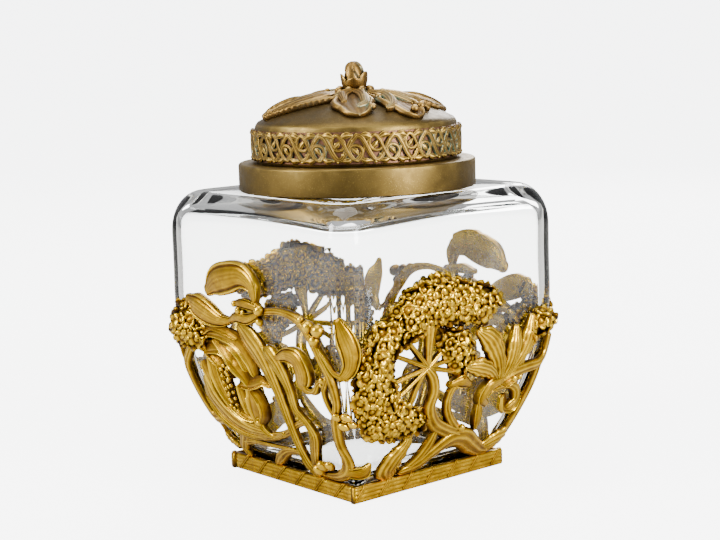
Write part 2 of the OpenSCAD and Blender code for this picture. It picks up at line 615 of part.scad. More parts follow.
// Routes in plan, with the flower towards -Y
flower_routes = [
    [[0, -5.5, 2.5, 1.5], [-0.4, -12, 4.6, 1.9], [-0.6, -18, 6.4, 2.1], [0.4, -21.6, 5.2, 1.9]],
    [[3, -5, 2.4, 1.5], [8.4, -10.6, 4.4, 1.9], [13.4, -15.6, 6, 2.1], [15.8, -18.6, 5, 1.9]]
];
leaf_routes = [
    [[-7, -3, 2, 1.4], [-12, -7.4, 4.2, 2.2], [-20, -8.8, 4.2, 2.2], [-25.6, -8.6, 2, 1.6]],
    [[-8, -2, 2.4, 1.4], [-13, 3, 3.4, 1.8], [-21.6, 1.4, 2.4, 1.6], [-26.4, -2.6, 1.3, 1.4]],
    [[-8.4, -11.6, 1.4, 1.8], [-14, -12.8, 1.4, 1.8], [-21, -12.2, 1.4, 1.8], [-27, -9.4, 1.4, 1.6]]
];

// A point above the dome
function on_dome(x, y, lift) = let(r = dome_sphere_r,
    up = sqrt(r * r - x * x - y * y), k = (r + lift) / r)
    [x * k, y * k, dome_centre_z + up * k];
on_dome_at = function(x, y, lift) on_dome(x, y, lift);

module dome_relief(routes) {
    color(old_brass) rotate([0, 0, relief_turn])
        relief_solid(routes, on_dome_at, -31, 26, -30, 12, dome_gap);
}

module lid_flower_front() dome_relief(flower_routes);
module lid_flower_back() rotate([0, 0, 180]) dome_relief(flower_routes);
module lid_leaf_left() dome_relief(leaf_routes);
module lid_leaf_right() rotate([0, 0, 180]) dome_relief(leaf_routes);

// ---- Bud on the lid ----

seat_r = 2;

// Outline of the bud: it swells from its seat and closes to a point
function bud_r(t) = seat_r * (1 - t) + (finial_r - seat_r * 0.5) * sin(180 * pow(t, 0.8)) + 0.2 * t;

module finial() {
    steps = 14;
    color(old_brass) union() {
        translate([0, 0, dome_top]) rotate_extrude() polygon(concat(
            [[0, 0]], [for (i = [0:steps]) [bud_r(i / steps), finial_h * i / steps]],
            [[0, finial_h]]));
        translate([0, 0, dome_top - lid_wall - 3]) cylinder(r = stud_r, h = lid_wall + 3.1);
    }
}

nut_h = 2;
// Air between the flat nut and the hollow of the dome
nut_air = 0.1;
nut_z = dome_top - lid_wall - nut_air - nut_h;

module finial_nut() {
    color(old_brass) difference() {
        translate([0, 0, nut_z]) cylinder(r = stud_r * 2.1, h = nut_h, $fn = 6);
        translate([0, 0, nut_z - 1]) cylinder(r = stud_r, h = nut_h + 2);
    }
}

glass_body();
base_rail_front();
base_rail_right();
base_rail_back();
base_rail_left();
orchid_panel_front();
umbel_panel_right();
orchid_panel_back();
umbel_panel_left();
collar();
collar_cement();
inner_rim();
hinge_leaf_fixed();
hinge_pin();
hinge_rivets_collar();
lid_shell();
lid_band();
hinge_leaf_lid();
hinge_rivets_lid();
lid_flower_front();
lid_leaf_left();
lid_leaf_right();
lid_flower_back();
finial();
finial_nut();
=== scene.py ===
# %% [markdown]
# # A square glass inkwell in a gilt flower mount
# The well is a hollow block of clear glass with bellied sides. Four pierced gilt castings hug
# it, a reeded frame carries it, and a brass collar and a hinged lid close it. The packed
# model gives every size and every joint. This lesson puts the finished surfaces around it.

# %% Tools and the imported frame
import math

import bmesh
import bpy
import numpy as np
from mathutils import Matrix, Vector


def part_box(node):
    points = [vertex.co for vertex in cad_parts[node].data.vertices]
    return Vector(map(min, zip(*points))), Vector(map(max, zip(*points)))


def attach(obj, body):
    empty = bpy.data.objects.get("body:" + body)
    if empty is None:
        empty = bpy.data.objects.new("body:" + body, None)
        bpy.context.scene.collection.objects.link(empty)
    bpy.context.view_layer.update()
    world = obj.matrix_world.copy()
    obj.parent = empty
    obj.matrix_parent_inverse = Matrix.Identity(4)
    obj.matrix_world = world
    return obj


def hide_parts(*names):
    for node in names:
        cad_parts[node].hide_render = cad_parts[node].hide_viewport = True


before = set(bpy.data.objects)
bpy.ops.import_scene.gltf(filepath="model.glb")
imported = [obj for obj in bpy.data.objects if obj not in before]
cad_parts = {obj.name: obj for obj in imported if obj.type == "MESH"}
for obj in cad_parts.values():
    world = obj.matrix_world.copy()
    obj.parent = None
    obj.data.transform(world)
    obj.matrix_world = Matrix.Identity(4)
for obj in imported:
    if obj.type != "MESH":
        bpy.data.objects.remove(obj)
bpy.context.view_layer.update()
MM = 0.001

# %% [markdown]
# ## The camera
# The camera comes first, so that every later step can be judged from the same place. It
# looks at the front corner from a little above, and it is tilted by a degree or two.

# %% Camera
AZIMUTH, ELEVATION, ROLL = (math.radians(a) for a in (49.47, 8.45, -1.77))
DISTANCE, AIM_HEIGHT, AIM_RIGHT = 0.51035, 0.06399, -0.00006
LENS, SENSOR = 80.17, 36.0


def add_camera():
    away = Vector((math.sin(AZIMUTH) * math.cos(ELEVATION),
                   -math.cos(AZIMUTH) * math.cos(ELEVATION), math.sin(ELEVATION)))
    level = Vector((math.cos(AZIMUTH), math.sin(AZIMUTH), 0))
    up = away.cross(level)
    right = level * math.cos(ROLL) + up * math.sin(ROLL)
    top = up * math.cos(ROLL) - level * math.sin(ROLL)
    camera = bpy.data.objects.new("camera", bpy.data.cameras.new("camera"))
    camera.data.lens, camera.data.sensor_width = LENS, SENSOR
    camera.data.clip_start, camera.data.clip_end = 0.01, 50
    turn = Matrix((right, top, away)).transposed().to_4x4()
    aim = Vector((0, 0, AIM_HEIGHT)) + level * AIM_RIGHT
    camera.matrix_world = Matrix.Translation(aim + away * DISTANCE) @ turn
    bpy.context.scene.collection.objects.link(camera)
    bpy.context.scene.camera = camera
    return camera


camera = add_camera()
print("camera at", [round(v, 3) for v in camera.location])

# %% [markdown]
# ## Sizes from the frame
# Nothing is measured twice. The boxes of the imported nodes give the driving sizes, in
# millimetres, and the few that a box can't give are named here once.

# %% Sizes in millimetres


def low(node):
    return [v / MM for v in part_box(node)[0]]


def high(node):
    return [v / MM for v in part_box(node)[1]]


GLASS_HALF = high("glass_body")[0]
FOOT_HALF = 26.5
FOOT_Z = low("glass_body")[2]
NECK_Z = high("glass_body")[2]
GLASS_TOP = low("collar")[2]
BELLY_Z = 60
GLASS_WALL, GLASS_BOTTOM, NECK_R, MOUTH_R, SEAT_AIR = 2.8, 6, 32.95, 27, 0.04
BASE_HALF = high("base_rail_right")[0]
RAIL_H = high("base_rail_right")[2]
COLLAR_R, COLLAR_TOP = high("collar")[0], high("collar")[2]
RIM_R, RIM_TOP = high("inner_rim")[0], high("inner_rim")[2]
LID_R, LID_Z, DOME_TOP = high("lid_shell")[0], low("lid_shell")[2], high("lid_shell")[2]
BAND_Z, BAND_TOP = low("lid_band")[2], high("lid_band")[2]
SHOULDER_Z = LID_Z + 12
HINGE_W = high("hinge_leaf_lid")[0] * 2
TOTAL_H = high("finial")[2]
print("glass", GLASS_HALF * 2, "wide, whole height", round(TOTAL_H, 2))

# %% [markdown]
# ## The surface of the glass
# The castings are bent over the glass, so everything on them is drawn flat, with u along the
# face and z up, and then laid on the glass by one function. That keeps the drawing simple.

# %% Laying things on the glass
BELLY_POWER, SHOULDER_H, SHOULDER_IN, RUN_OFF = 2.05, 12.8, 7, 1.5


def half_w(z):
    t = np.clip((z - FOOT_Z) / (BELLY_Z - FOOT_Z), 0, 1)
    s = np.clip((z - GLASS_TOP + SHOULDER_H) / SHOULDER_H, 0, 1)
    return (GLASS_HALF - (GLASS_HALF - FOOT_HALF) * (1 - t) ** BELLY_POWER
            - SHOULDER_IN * (1 - np.sqrt(1 - s * s)))


def corner_r(z):
    return np.minimum(7.5, 4.5 + 0.045 * z)


def on_glass(flat):
    """Points (u, z, lift) as points on the -Y side of the glass, round its corners too."""
    u, z, lift = flat[:, 0], flat[:, 1], flat[:, 2]
    w, r = half_w(z), corner_r(z)
    straight, corner = w - r, (r + RUN_OFF) * math.pi / 2
    a = np.abs(u)
    turn = np.clip((a - straight) / corner, 0, 1) * math.pi / 2
    before, after = np.minimum(a, straight), np.maximum(0, a - straight - corner)
    x = np.sign(u) * (before + (r + lift) * np.sin(turn))
    y = after - straight - (r + lift) * np.cos(turn)
    return np.column_stack([x, y, z])


print("half width at the foot, middle and belly", half_w(np.array([1.5, 30, 60])).round(1))

# %% [markdown]
# ## A casting from closed shapes
# A casting is a heap of closed shapes that run into each other: stems, petals, berries. This
# small class keeps their points, their faces and a wear value for each point, which is partly
# rubbed wear and partly painted shade: high spots are rubbed bright, and hollows are painted
# brown as shade, so the finish can read that value later.

# %% Casting


class Casting:
    def __init__(self, lay):
        self.lay = lay
        self.points, self.faces, self.wear = [], [], []
        self.count = 0

    def add(self, flat, faces, wear):
        self.points.append(np.asarray(flat, float))
        self.faces += [[i + self.count for i in face] for face in faces]
        self.wear.append(np.asarray(wear, float))
        self.count += len(flat)

    def mesh(self, name, turn=0):
        flat = np.vstack(self.points)
        points = self.lay(flat) * MM
        c, s = math.cos(math.radians(turn)), math.sin(math.radians(turn))
        points = points @ np.array([[c, s, 0], [-s, c, 0], [0, 0, 1]])
        mesh = bpy.data.meshes.new(name)
        mesh.from_pydata(points.tolist(), [], self.faces)
        # The wear value is partly rubbed wear and partly painted shade: hollows carry low values, which the
        # finish paints dark.
        wear = mesh.attributes.new("wear", "FLOAT", "POINT")
        wear.data.foreach_set("value", np.concatenate(self.wear))
        return tidy_mesh(mesh)


def tidy_mesh(mesh):
    """Faces outwards, smooth shading."""
    work = bmesh.new()
    work.from_mesh(mesh)
    bmesh.ops.recalc_face_normals(work, faces=work.faces)
    work.to_mesh(mesh)
    work.free()
    mesh.polygons.foreach_set("use_smooth", [True] * len(mesh.polygons))
    mesh.update()
    return mesh


def add_piece(mesh, finish, body, slot, *nodes):
    """A finished piece on a body, in place of these nodes."""
    piece = bpy.data.objects.new(mesh.name, mesh)
    bpy.context.scene.collection.objects.link(piece)
    mesh.materials.clear()
    mesh.materials.append(finish)
    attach(piece, body)
    if nodes:
        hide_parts(*nodes)
    print(piece.name, len(mesh.polygons), "faces")
    return piece


# %% [markdown]
# ## Ribbons
# A stem, a petal and a leaf are the same thing: a smooth route with a half width and a
# height at each point, and a section across it. A stem is round with flutes, a petal is
# hollowed with a rolled rim, a leaf has a midrib. The route is a Catmull-Rom curve through
# a few given points, and both ends are rounded by shrinking the width on a circle.

# %% Route and ends
STEP = 0.55
END_ANGLES = np.radians([18, 36, 52, 66, 78, 87])


def smooth_route(route, step=STEP):
    """A curve through points [u, z, half width, height], with rounded ends."""
    p = np.array(route, float)
    if len(p) == 2:
        p = np.vstack([p[0], p.mean(0), p[1]])
    around = np.vstack([2 * p[0] - p[1], p, 2 * p[-1] - p[-2]])
    rows = []
    for i in range(len(p) - 1):
        a, b, c, d = around[i:i + 4]
        n = max(2, int(np.linalg.norm((c - b)[:2]) / step))
        t = np.linspace(0, 1, n, endpoint=False)[:, None]
        rows.append(0.5 * (2 * b + (c - a) * t + (2 * a - 5 * b + 4 * c - d) * t ** 2
                           + (3 * b - a - 3 * c + d) * t ** 3))
    path = np.vstack(rows + [p[-1:]])
    path[:, 2] = np.maximum(path[:, 2], 0.3)
    return np.vstack([end_cap(path[0], path[1])[::-1], path, end_cap(path[-1], path[-2])])


def end_cap(end, inner):
    way = (end - inner)[:2]
    way = way / np.linalg.norm(way)
    rows = []
    for a in END_ANGLES:
        spot = end[:2] + way * end[2] * math.sin(a)
        rows.append([*spot, end[2] * math.cos(a), end[3] * (0.55 + 0.45 * math.cos(a))])
    return np.array(rows)


trial = smooth_route([[0, 0, 1, 1], [10, 0, 1, 1]])
print("a straight route of 10 mm has", len(trial), "stations")

# %% Sections
# Each section also gives a wear value across the ribbon: high on ridges and rims for rubbed wear, low in
# grooves, flutes, folds and cushion edges, where it paints shade.
EDGE = 0.55


def stem_section(s, along, flutes=3):
    """Round, with flutes that run its whole length."""
    dome = np.sqrt(1 - 0.9 * s * s)
    ridge = 0.5 + 0.5 * np.cos(math.pi * flutes * s)
    return dome * (0.8 + 0.2 * ridge), 0.25 + 0.75 * ridge * dome


def petal_section(s, along, veins=7):
    """A low dome with a groove inside a rolled rim, and fine veins."""
    a = np.abs(s)
    groove = np.exp(-((a - 0.7) / 0.1) ** 2)
    rim = np.exp(-((a - 0.88) / 0.08) ** 2)
    vein = 0.5 + 0.5 * np.cos(math.pi * veins * s)
    lift = 0.62 + 0.33 * (1 - a ** 3) - 0.2 * groove + 0.16 * rim + 0.05 * vein * (a < 0.66)
    return lift, 0.58 - 0.45 * groove + 0.4 * rim + 0.26 * (vein - 0.5)


def leaf_section(s, along, veins=5):
    """Ridges that fan out from the narrow end."""
    ridge = 0.5 + 0.5 * np.cos(math.pi * veins * s)
    dome = 1 - 0.75 * s * s
    return 0.55 * dome + 0.25 + 0.2 * ridge * dome, 0.3 + 0.7 * ridge


def hood_section(s, along):
    """A shell that stands up along one edge, such as a hooded petal."""
    slope = 0.5 + 0.5 * s
    vein = 0.5 + 0.5 * np.cos(5 * math.pi * s)
    fold = np.exp(-((s - 0.62) / 0.14) ** 2)
    wear = 0.08 + 0.9 * slope ** 1.8 - 0.35 * fold + 0.1 * vein
    return 0.3 + 0.7 * slope ** 1.6 - 0.16 * fold + 0.04 * vein, wear


def head_section(s, along):
    """A low cushion for the florets to stand on."""
    return 0.25 + 0.5 * (1 - s * s), 0.15 + 0.2 * (1 - s * s)


for section in (stem_section, petal_section, leaf_section, hood_section, head_section):
    lift, wear = section(np.zeros(1), 0.5)
    print(section.__name__, "is", round(float(lift[0]), 2), "of its height in the middle")

# %% Ribbon
ACROSS = 15
# The flat underside of every ribbon gets one fixed value of wear and painted shade.
UNDER, UNDER_WEAR_AND_SHADE = 3, 0.75


def ribbon(casting, route, section, relief=1.0, gap=0.12, ruffle=0.0, waves=7, across=ACROSS):
    """Adds one closed ribbon along a route to a casting."""
    path = smooth_route(route)
    n = len(path)
    way = np.gradient(path[:, :2], axis=0)
    way /= np.maximum(np.linalg.norm(way, axis=1), 1e-9)[:, None]
    side = np.column_stack([way[:, 1], -way[:, 0]])
    s = np.sin(np.linspace(-math.pi / 2, math.pi / 2, across))
    under = np.linspace(1, -1, UNDER)
    along = np.linspace(0, 1, n)[:, None]
    wave = np.sin(along * waves * 2 * math.pi)
    half = path[:, 2:3] * (1 + ruffle * wave)
    share, wear = section(s[None, :] * np.ones((n, 1)), along)
    height = path[:, 3:4] * relief
    lift = gap + EDGE + (height - EDGE) * share + ruffle * 2.2 * wave * np.abs(s) ** 2
    lift[:, [0, -1]] = gap + EDGE * 0.6
    top = np.dstack([path[:, :1] + side[:, :1] * half * s, path[:, 1:2] + side[:, 1:] * half * s, lift])
    low_half = half * 0.92
    bottom = np.dstack([path[:, :1] + side[:, :1] * low_half * under,
                        path[:, 1:2] + side[:, 1:] * low_half * under,
                        np.full((n, UNDER), gap)])
    loops = np.concatenate([top, bottom], axis=1)
    k = across + UNDER
    faces = [[i * k + j, i * k + (j + 1) % k, (i + 1) * k + (j + 1) % k, (i + 1) * k + j]
             for i in range(n - 1) for j in range(k)]
    faces += [list(range(k)), list(range((n - 1) * k, n * k))]
    wear = np.concatenate([wear, np.full((n, UNDER), UNDER_WEAR_AND_SHADE)], axis=1)
    casting.add(loops.reshape(-1, 3), faces, wear.ravel())


def bead(casting, u, z, r, lift, squash=1.0, wear=1.0):
    """Adds a closed ball."""
    rows, cols = 7, 12
    points = [[u, z, lift - r * squash]]
    for i in range(1, rows):
        a = math.pi * i / rows
        for j in range(cols):
            b = 2 * math.pi * j / cols
            points.append([u + r * math.sin(a) * math.cos(b), z + r * math.sin(a) * math.sin(b),
                           lift - r * squash * math.cos(a)])
    points.append([u, z, lift + r * squash])
    last = len(points) - 1
    faces = [[0, 1 + (j + 1) % cols, 1 + j] for j in range(cols)]
    faces += [[1 + i * cols + j, 1 + i * cols + (j + 1) % cols,
               1 + (i + 1) * cols + (j + 1) % cols, 1 + (i + 1) * cols + j]
              for i in range(rows - 2) for j in range(cols)]
    faces += [[last, 1 + (rows - 2) * cols + j, 1 + (rows - 2) * cols + (j + 1) % cols]
              for j in range(cols)]
    # A bead is painted darker towards the glass and bright at its crown: painted shade.
    heights = [p[2] for p in points]
    span = max(heights) - min(heights)
    casting.add(points, faces, [wear * (h - min(heights)) / span for h in heights])


print("a ribbon has", ACROSS, "points over its top and", UNDER, "under it")

# %% [markdown]
# ## Finishes
# Every finish is made of nodes on Object coordinates, so the pattern keeps its real scale.
# The gilt reads the wear value of each point: rubbed high spots are bright and smooth, and
# hollows are brown and dull, which is painted shade. Ambient occlusion paints more shade,
# darkening the colour where shapes meet.

# %% Helpers for finishes
NOISE_DETAIL = 5


class Finish:
    """A material and short ways to add nodes to it."""

    def __init__(self, name, **sockets):
        self.material = bpy.data.materials.new(name)
        self.material.use_nodes = True
        self.nodes, self.links = self.material.node_tree.nodes, self.material.node_tree.links
        self.nodes.clear()
        self.shader = self.nodes.new("ShaderNodeBsdfPrincipled")
        out = self.nodes.new("ShaderNodeOutputMaterial")
        self.links.new(self.shader.outputs["BSDF"], out.inputs["Surface"])
        self.place = self.nodes.new("ShaderNodeTexCoord").outputs["Object"]
        for key, value in sockets.items():
            self.shader.inputs[key.replace("_", " ")].default_value = value

    def noise(self, scale, detail=NOISE_DETAIL, distortion=0.0, stretch=None):
        node = self.nodes.new("ShaderNodeTexNoise")
        node.inputs["Scale"].default_value = scale
        node.inputs["Detail"].default_value = detail
        node.inputs["Distortion"].default_value = distortion
        place = self.place
        if stretch:
            mapping = self.nodes.new("ShaderNodeMapping")
            mapping.inputs["Scale"].default_value = stretch
            self.links.new(place, mapping.inputs["Vector"])
            place = mapping.outputs["Vector"]
        self.links.new(place, node.inputs["Vector"])
        return node.outputs["Fac"]

    # The wear value of each point, which stands for rubbed wear and painted shade.
    def wear(self):
        node = self.nodes.new("ShaderNodeAttribute")
        node.attribute_name = "wear"
        return node.outputs["Fac"]

    def hollow(self, distance):
        node = self.nodes.new("ShaderNodeAmbientOcclusion")
        node.samples, node.only_local = 8, True
        node.inputs["Distance"].default_value = distance
        return node.outputs["AO"]

    def ramp(self, value, *stops):
        node = self.nodes.new("ShaderNodeValToRGB")
        while len(node.color_ramp.elements) < len(stops):
            node.color_ramp.elements.new(0.5)
        for element, (at, colour) in zip(node.color_ramp.elements, stops):
            element.position = at
            element.color = (*colour, 1) if isinstance(colour, tuple) else (colour,) * 3 + (1,)
        self.links.new(value, node.inputs["Fac"])
        return node.outputs["Color"]

    def blend(self, share, a, b, how="MIX"):
        node = self.nodes.new("ShaderNodeMix")
        node.data_type, node.blend_type = "RGBA", how
        for socket, value in ((node.inputs[0], share), (node.inputs[6], a), (node.inputs[7], b)):
            if isinstance(value, (float, int)):
                socket.default_value = value
            elif isinstance(value, tuple):
                socket.default_value = (*value, 1)
            else:
                self.links.new(value, socket)
        return node.outputs[2]

    def sum(self, a, b, how="ADD"):
        node = self.nodes.new("ShaderNodeMath")
        node.operation = how
        for socket, value in zip(node.inputs, (a, b)):
            if isinstance(value, (float, int)):
                socket.default_value = value
            else:
                self.links.new(value, socket)
        return node.outputs[0]

    def bump(self, height, distance, strength=1.0):
        node = self.nodes.new("ShaderNodeBump")
        node.inputs["Strength"].default_value = strength
        node.inputs["Distance"].default_value = distance
        self.links.new(height, node.inputs["Height"])
        if self.shader.inputs["Normal"].is_linked:
            self.links.new(self.shader.inputs["Normal"].links[0].from_socket, node.inputs["Normal"])
        self.links.new(node.outputs["Normal"], self.shader.inputs["Normal"])

    def set(self, socket, value):
        self.links.new(value, self.shader.inputs[socket])


print("a noise has", NOISE_DETAIL, "levels unless told otherwise")

# %% Gilt bronze


def gilt_bronze():
    f = Finish("gilt_bronze", Metallic=1.0)
    blotch = f.noise(260, 4, 0.6)
    # Low values are dark brown and high ones bright gold: rubbed wear on the high spots, painted shade in the
    # hollows.
    worn_and_shaded = f.sum(f.wear(), f.sum(f.sum(blotch, -0.5), 0.7, "MULTIPLY"))
    colour = f.ramp(worn_and_shaded, (0.0, (0.05, 0.019, 0.002)), (0.3, (0.21, 0.10, 0.004)),
                    (0.62, (0.50, 0.285, 0.008)), (0.97, (0.92, 0.60, 0.03)))
    # Ambient occlusion darkens the colour where shapes meet and in creases: painted shade.
    painted_shade = f.ramp(f.hollow(0.0035), (0.3, (0.16, 0.08, 0.025)), (0.85, (1.0, 1.0, 1.0)))
    f.set("Base Color", f.blend(1.0, colour, painted_shade, "MULTIPLY"))
    rough = f.ramp(f.sum(worn_and_shaded, f.sum(f.noise(1400, 3), 0.35, "MULTIPLY")),
                   (0.1, 0.5), (0.7, 0.34), (1.0, 0.24))
    f.set("Roughness", rough)
    f.bump(f.noise(900, 4), 0.00012, 0.6)
    f.bump(f.noise(5200, 3), 0.00003, 0.5)
    return f.material


GILT = gilt_bronze()
print("made", GILT.name)

# %% Old brass


BRASS_TONES = ((0.045, 0.029, 0.009), (0.09, 0.058, 0.016), (0.15, 0.098, 0.026), (0.40, 0.28, 0.08))
RELIEF_TONES = ((0.05, 0.028, 0.010), (0.12, 0.066, 0.018), (0.24, 0.14, 0.035), (0.60, 0.38, 0.10))
VINE_TONES = ((0.05, 0.026, 0.008), (0.11, 0.062, 0.014), (0.22, 0.13, 0.025), (0.66, 0.43, 0.08))
BROWN_TONES = ((0.12, 0.055, 0.035), (0.18, 0.085, 0.05), (0.26, 0.14, 0.09), (0.36, 0.22, 0.14))


def old_brass(name="old_brass", green=0.3, tones=BRASS_TONES, reads_wear_and_shade=True):
    f = Finish(name, Metallic=1.0)
    blotch = f.noise(120, 5, 0.4)
    # The colour follows the wear value, darker at low values: rubbed wear on the high spots, painted shade in
    # the hollows.
    worn_and_shaded = f.sum(f.wear() if reads_wear_and_shade else 0.5, f.sum(f.sum(blotch, -0.5), 0.6, "MULTIPLY"))
    colour = f.ramp(worn_and_shaded, *zip((0.0, 0.4, 0.75, 1.0), tones))
    speck = f.ramp(f.noise(4200, 2), (0.62, 0.0), (0.72, 1.0))
    colour = f.blend(f.sum(speck, 0.35, "MULTIPLY"), colour, (0.62, 0.43, 0.12))
    hollow = f.hollow(0.002)
    # Ambient occlusion darkens the colour where shapes meet: painted shade.
    painted_shade = f.ramp(hollow, (0.2, (0.25, 0.18, 0.10)), (0.75, (1.0, 1.0, 1.0)))
    colour = f.blend(1.0, colour, painted_shade, "MULTIPLY")
    patch = f.ramp(f.noise(85, 3, 0.8), (0.46, 0.0), (0.60, 1.0))
    deep = f.ramp(hollow, (0.4, 1.0), (0.92, 0.0))
    verdigris = f.sum(f.sum(patch, deep, "MULTIPLY"), green, "MULTIPLY")
    f.set("Base Color", f.blend(verdigris, colour, (0.30, 0.48, 0.38)))
    f.set("Roughness", f.ramp(f.noise(500, 4), (0.3, 0.36), (0.7, 0.52)))
    f.bump(f.noise(3600, 3), 0.00002, 0.5)
    return f.material


OLD_BRASS = old_brass()
print("made", OLD_BRASS.name)

# %% Clear glass


def clear_glass():
    f = Finish("clear_glass", Metallic=0.0, Transmission_Weight=1.0, IOR=1.5)
    f.set("Base Color", f.ramp(f.noise(30, 2), (0.3, (0.975, 0.99, 0.98)), (0.7, (0.99, 0.995, 0.99))))
    f.set("Roughness", f.ramp(f.noise(70, 4), (0.45, 0.0), (0.8, 0.02)))
    f.bump(f.noise(38, 2, 0.3, (1, 1, 0.5)), 0.0006, 0.35)
    return f.material


GLASS = clear_glass()
print("made", GLASS.name)

# %% Plaster and steel


def plaster():
    f = Finish("bedding_plaster", Metallic=0.0)
    f.set("Base Color", f.ramp(f.noise(400), (0.3, (0.42, 0.28, 0.15)), (0.7, (0.58, 0.42, 0.25))))
    f.set("Roughness", f.ramp(f.noise(900), (0.3, 0.7), (0.7, 0.95)))
    f.bump(f.noise(1500), 0.0001, 0.8)
    return f.material


def drawn_steel():
    f = Finish("drawn_steel", Metallic=1.0)
    f.set("Base Color", f.ramp(f.noise(600), (0.3, (0.26, 0.22, 0.17)), (0.7, (0.45, 0.41, 0.35))))
    f.set("Roughness", f.ramp(f.noise(2500, 2, 0, (0.1, 1, 1)), (0.3, 0.3), (0.7, 0.5)))
    f.bump(f.noise(3000, 2, 0, (0.1, 1, 1)), 0.00002, 0.5)
    return f.material


PLASTER, STEEL = plaster(), drawn_steel()
print("made", PLASTER.name, STEEL.name)

# %% [markdown]
# ## The glass
# The bottle is one closed skin: up the outside, over the neck, and down the inside. Each
# level is a ring of points round a square with rounded corners, blended into a circle
# towards the neck. The mould left fine upright ripples inside the corners, so the inner
# rings get them too.

# %% Rings of the glass
ON_SIDE, ON_CORNER, CORNER_TOP = 22, 16, 7.5


def square_ring(w, r, z, ripple=0.0):
    """Points round a square of half width w with corners of radius r."""
    points = []
    for side in range(4):
        q = math.pi / 2 * side
        for i in range(ON_SIDE):
            points.append((w, (w - r) * (2 * i / ON_SIDE - 1), q))
        for i in range(ON_CORNER):
            a, c = math.pi / 2 * i / ON_CORNER, i / ON_CORNER
            inset = ripple * math.sin(math.pi * c) * (
                math.sin(math.tau * 4.5 * c) + 0.7 * math.sin(math.tau * 7.7 * c + 1.3))
            points.append((w - r + (r + inset) * math.cos(a), w - r + (r + inset) * math.sin(a), q))
    return np.array([[x * math.cos(q) - y * math.sin(q), x * math.sin(q) + y * math.cos(q), z]
                     for x, y, q in points])


def round_ring(radius, z):
    base = square_ring(GLASS_HALF - SHOULDER_IN, CORNER_TOP, z)
    size = np.hypot(base[:, 0], base[:, 1])[:, None]
    return np.column_stack([base[:, :2] / size * radius, base[:, 2]])


def between(a, b, t):
    return a * (1 - t) + b * t


print("a ring has", len(round_ring(NECK_R, 0)), "points")

# %% Outside and neck


def outer_rings():
    rings = []
    for i in range(4):
        t = i / 4
        rings.append(square_ring(float(half_w(FOOT_Z)) - 0.9 * (1 - t) ** 2, 4.4, FOOT_Z + 0.5 * t * t))
    side = GLASS_TOP - SHOULDER_H
    for z in np.linspace(FOOT_Z + 0.6, side, 44):
        rings.append(square_ring(float(half_w(z)), float(corner_r(z)), z))
    for a in np.radians(np.arange(8, 91, 8)):
        z = side + SHOULDER_H * math.sin(a)
        rings.append(square_ring(float(half_w(z)), float(corner_r(z)), z))
    last = square_ring(GLASS_HALF - SHOULDER_IN, CORNER_TOP, GLASS_TOP)
    for t in (0.0, 0.5, 0.85):
        rings.append(between(last, round_ring(NECK_R + 0.8, GLASS_TOP - SEAT_AIR), t))
    rings += [round_ring(NECK_R, GLASS_TOP - SEAT_AIR), round_ring(NECK_R, GLASS_TOP + 0.6)]
    for a in np.radians([0, 30, 60, 90]):
        rings.append(round_ring(NECK_R - 1 + math.cos(a), NECK_Z - 1 + math.sin(a)))
    for a in np.radians([90, 60, 30, 0]):
        rings.append(round_ring(MOUTH_R + 1 - math.cos(a), NECK_Z - 1 + math.sin(a)))
    return rings


print("outside and neck have", len(outer_rings()), "rings")

# %% Cavity
CEILING = 0.65


def cavity_rings():
    rings = []
    throat, deep = GLASS_TOP - 3.2, GLASS_TOP - 12
    inner = float(half_w(deep)) - GLASS_WALL
    for a in np.radians(np.arange(0, 91, 9)):
        z = throat - (throat - deep) * (1 - math.cos(a) ** CEILING)
        w = MOUTH_R + (inner - MOUTH_R) * math.sin(a) ** CEILING
        share = math.sin(a) ** 0.5
        rings.append(between(round_ring(w, z), square_ring(w, corner_r(z) - 1, z), share))
    bottom = FOOT_Z + GLASS_BOTTOM
    for t in np.linspace(1, 0, 40)[1:]:
        z = bottom + 4 + (deep - bottom - 4) * t
        ripple = 0.09 * math.sin(math.pi * min(1, t * 1.05)) ** 0.5
        rings.append(square_ring(float(half_w(z)) - GLASS_WALL, float(corner_r(z)) - 1, z, ripple))
    w, r = float(half_w(bottom + 4)) - GLASS_WALL, float(corner_r(bottom + 4)) - 1
    for a in np.radians([20, 40, 60, 80]):
        rings.append(square_ring(w - 4 * (1 - math.cos(a)), r - 0.6, bottom + 4 * (1 - math.sin(a))))
    return rings


print("the cavity has", len(cavity_rings()), "rings")

# %% Glass body


def skin(rings, name, wear=0.6):
    """A closed skin through rings of equal length, with a centre point in each end."""
    m = len(rings[0])
    points = np.vstack(rings + [rings[0].mean(0)[None], rings[-1].mean(0)[None]])
    n = len(rings)
    faces = [[i * m + j, i * m + (j + 1) % m, (i + 1) * m + (j + 1) % m, (i + 1) * m + j]
             for i in range(n - 1) for j in range(m)]
    faces += [[n * m, (j + 1) % m, j] for j in range(m)]
    faces += [[n * m + 1, (n - 1) * m + j, (n - 1) * m + (j + 1) % m] for j in range(m)]
    mesh = bpy.data.meshes.new(name)
    mesh.from_pydata((points * MM).tolist(), [], faces)
    layer = mesh.attributes.new("wear", "FLOAT", "POINT")
    layer.data.foreach_set("value", np.broadcast_to(wear, len(points)).astype(float))
    return tidy_mesh(mesh)


glass = add_piece(skin(outer_rings() + cavity_rings(), "glass_bottle"), GLASS, "well", "glass",
                  "glass_body")

# %% [markdown]
# ## Turned parts
# The collar, the rim, the lid and its band are round, so a profile turned about the middle
# makes them. The profile is a closed loop of (radius, height) points, and its corners are
# rounded one by one, because a worn edge catches the light.

# %% Turned parts
TURNS = 180


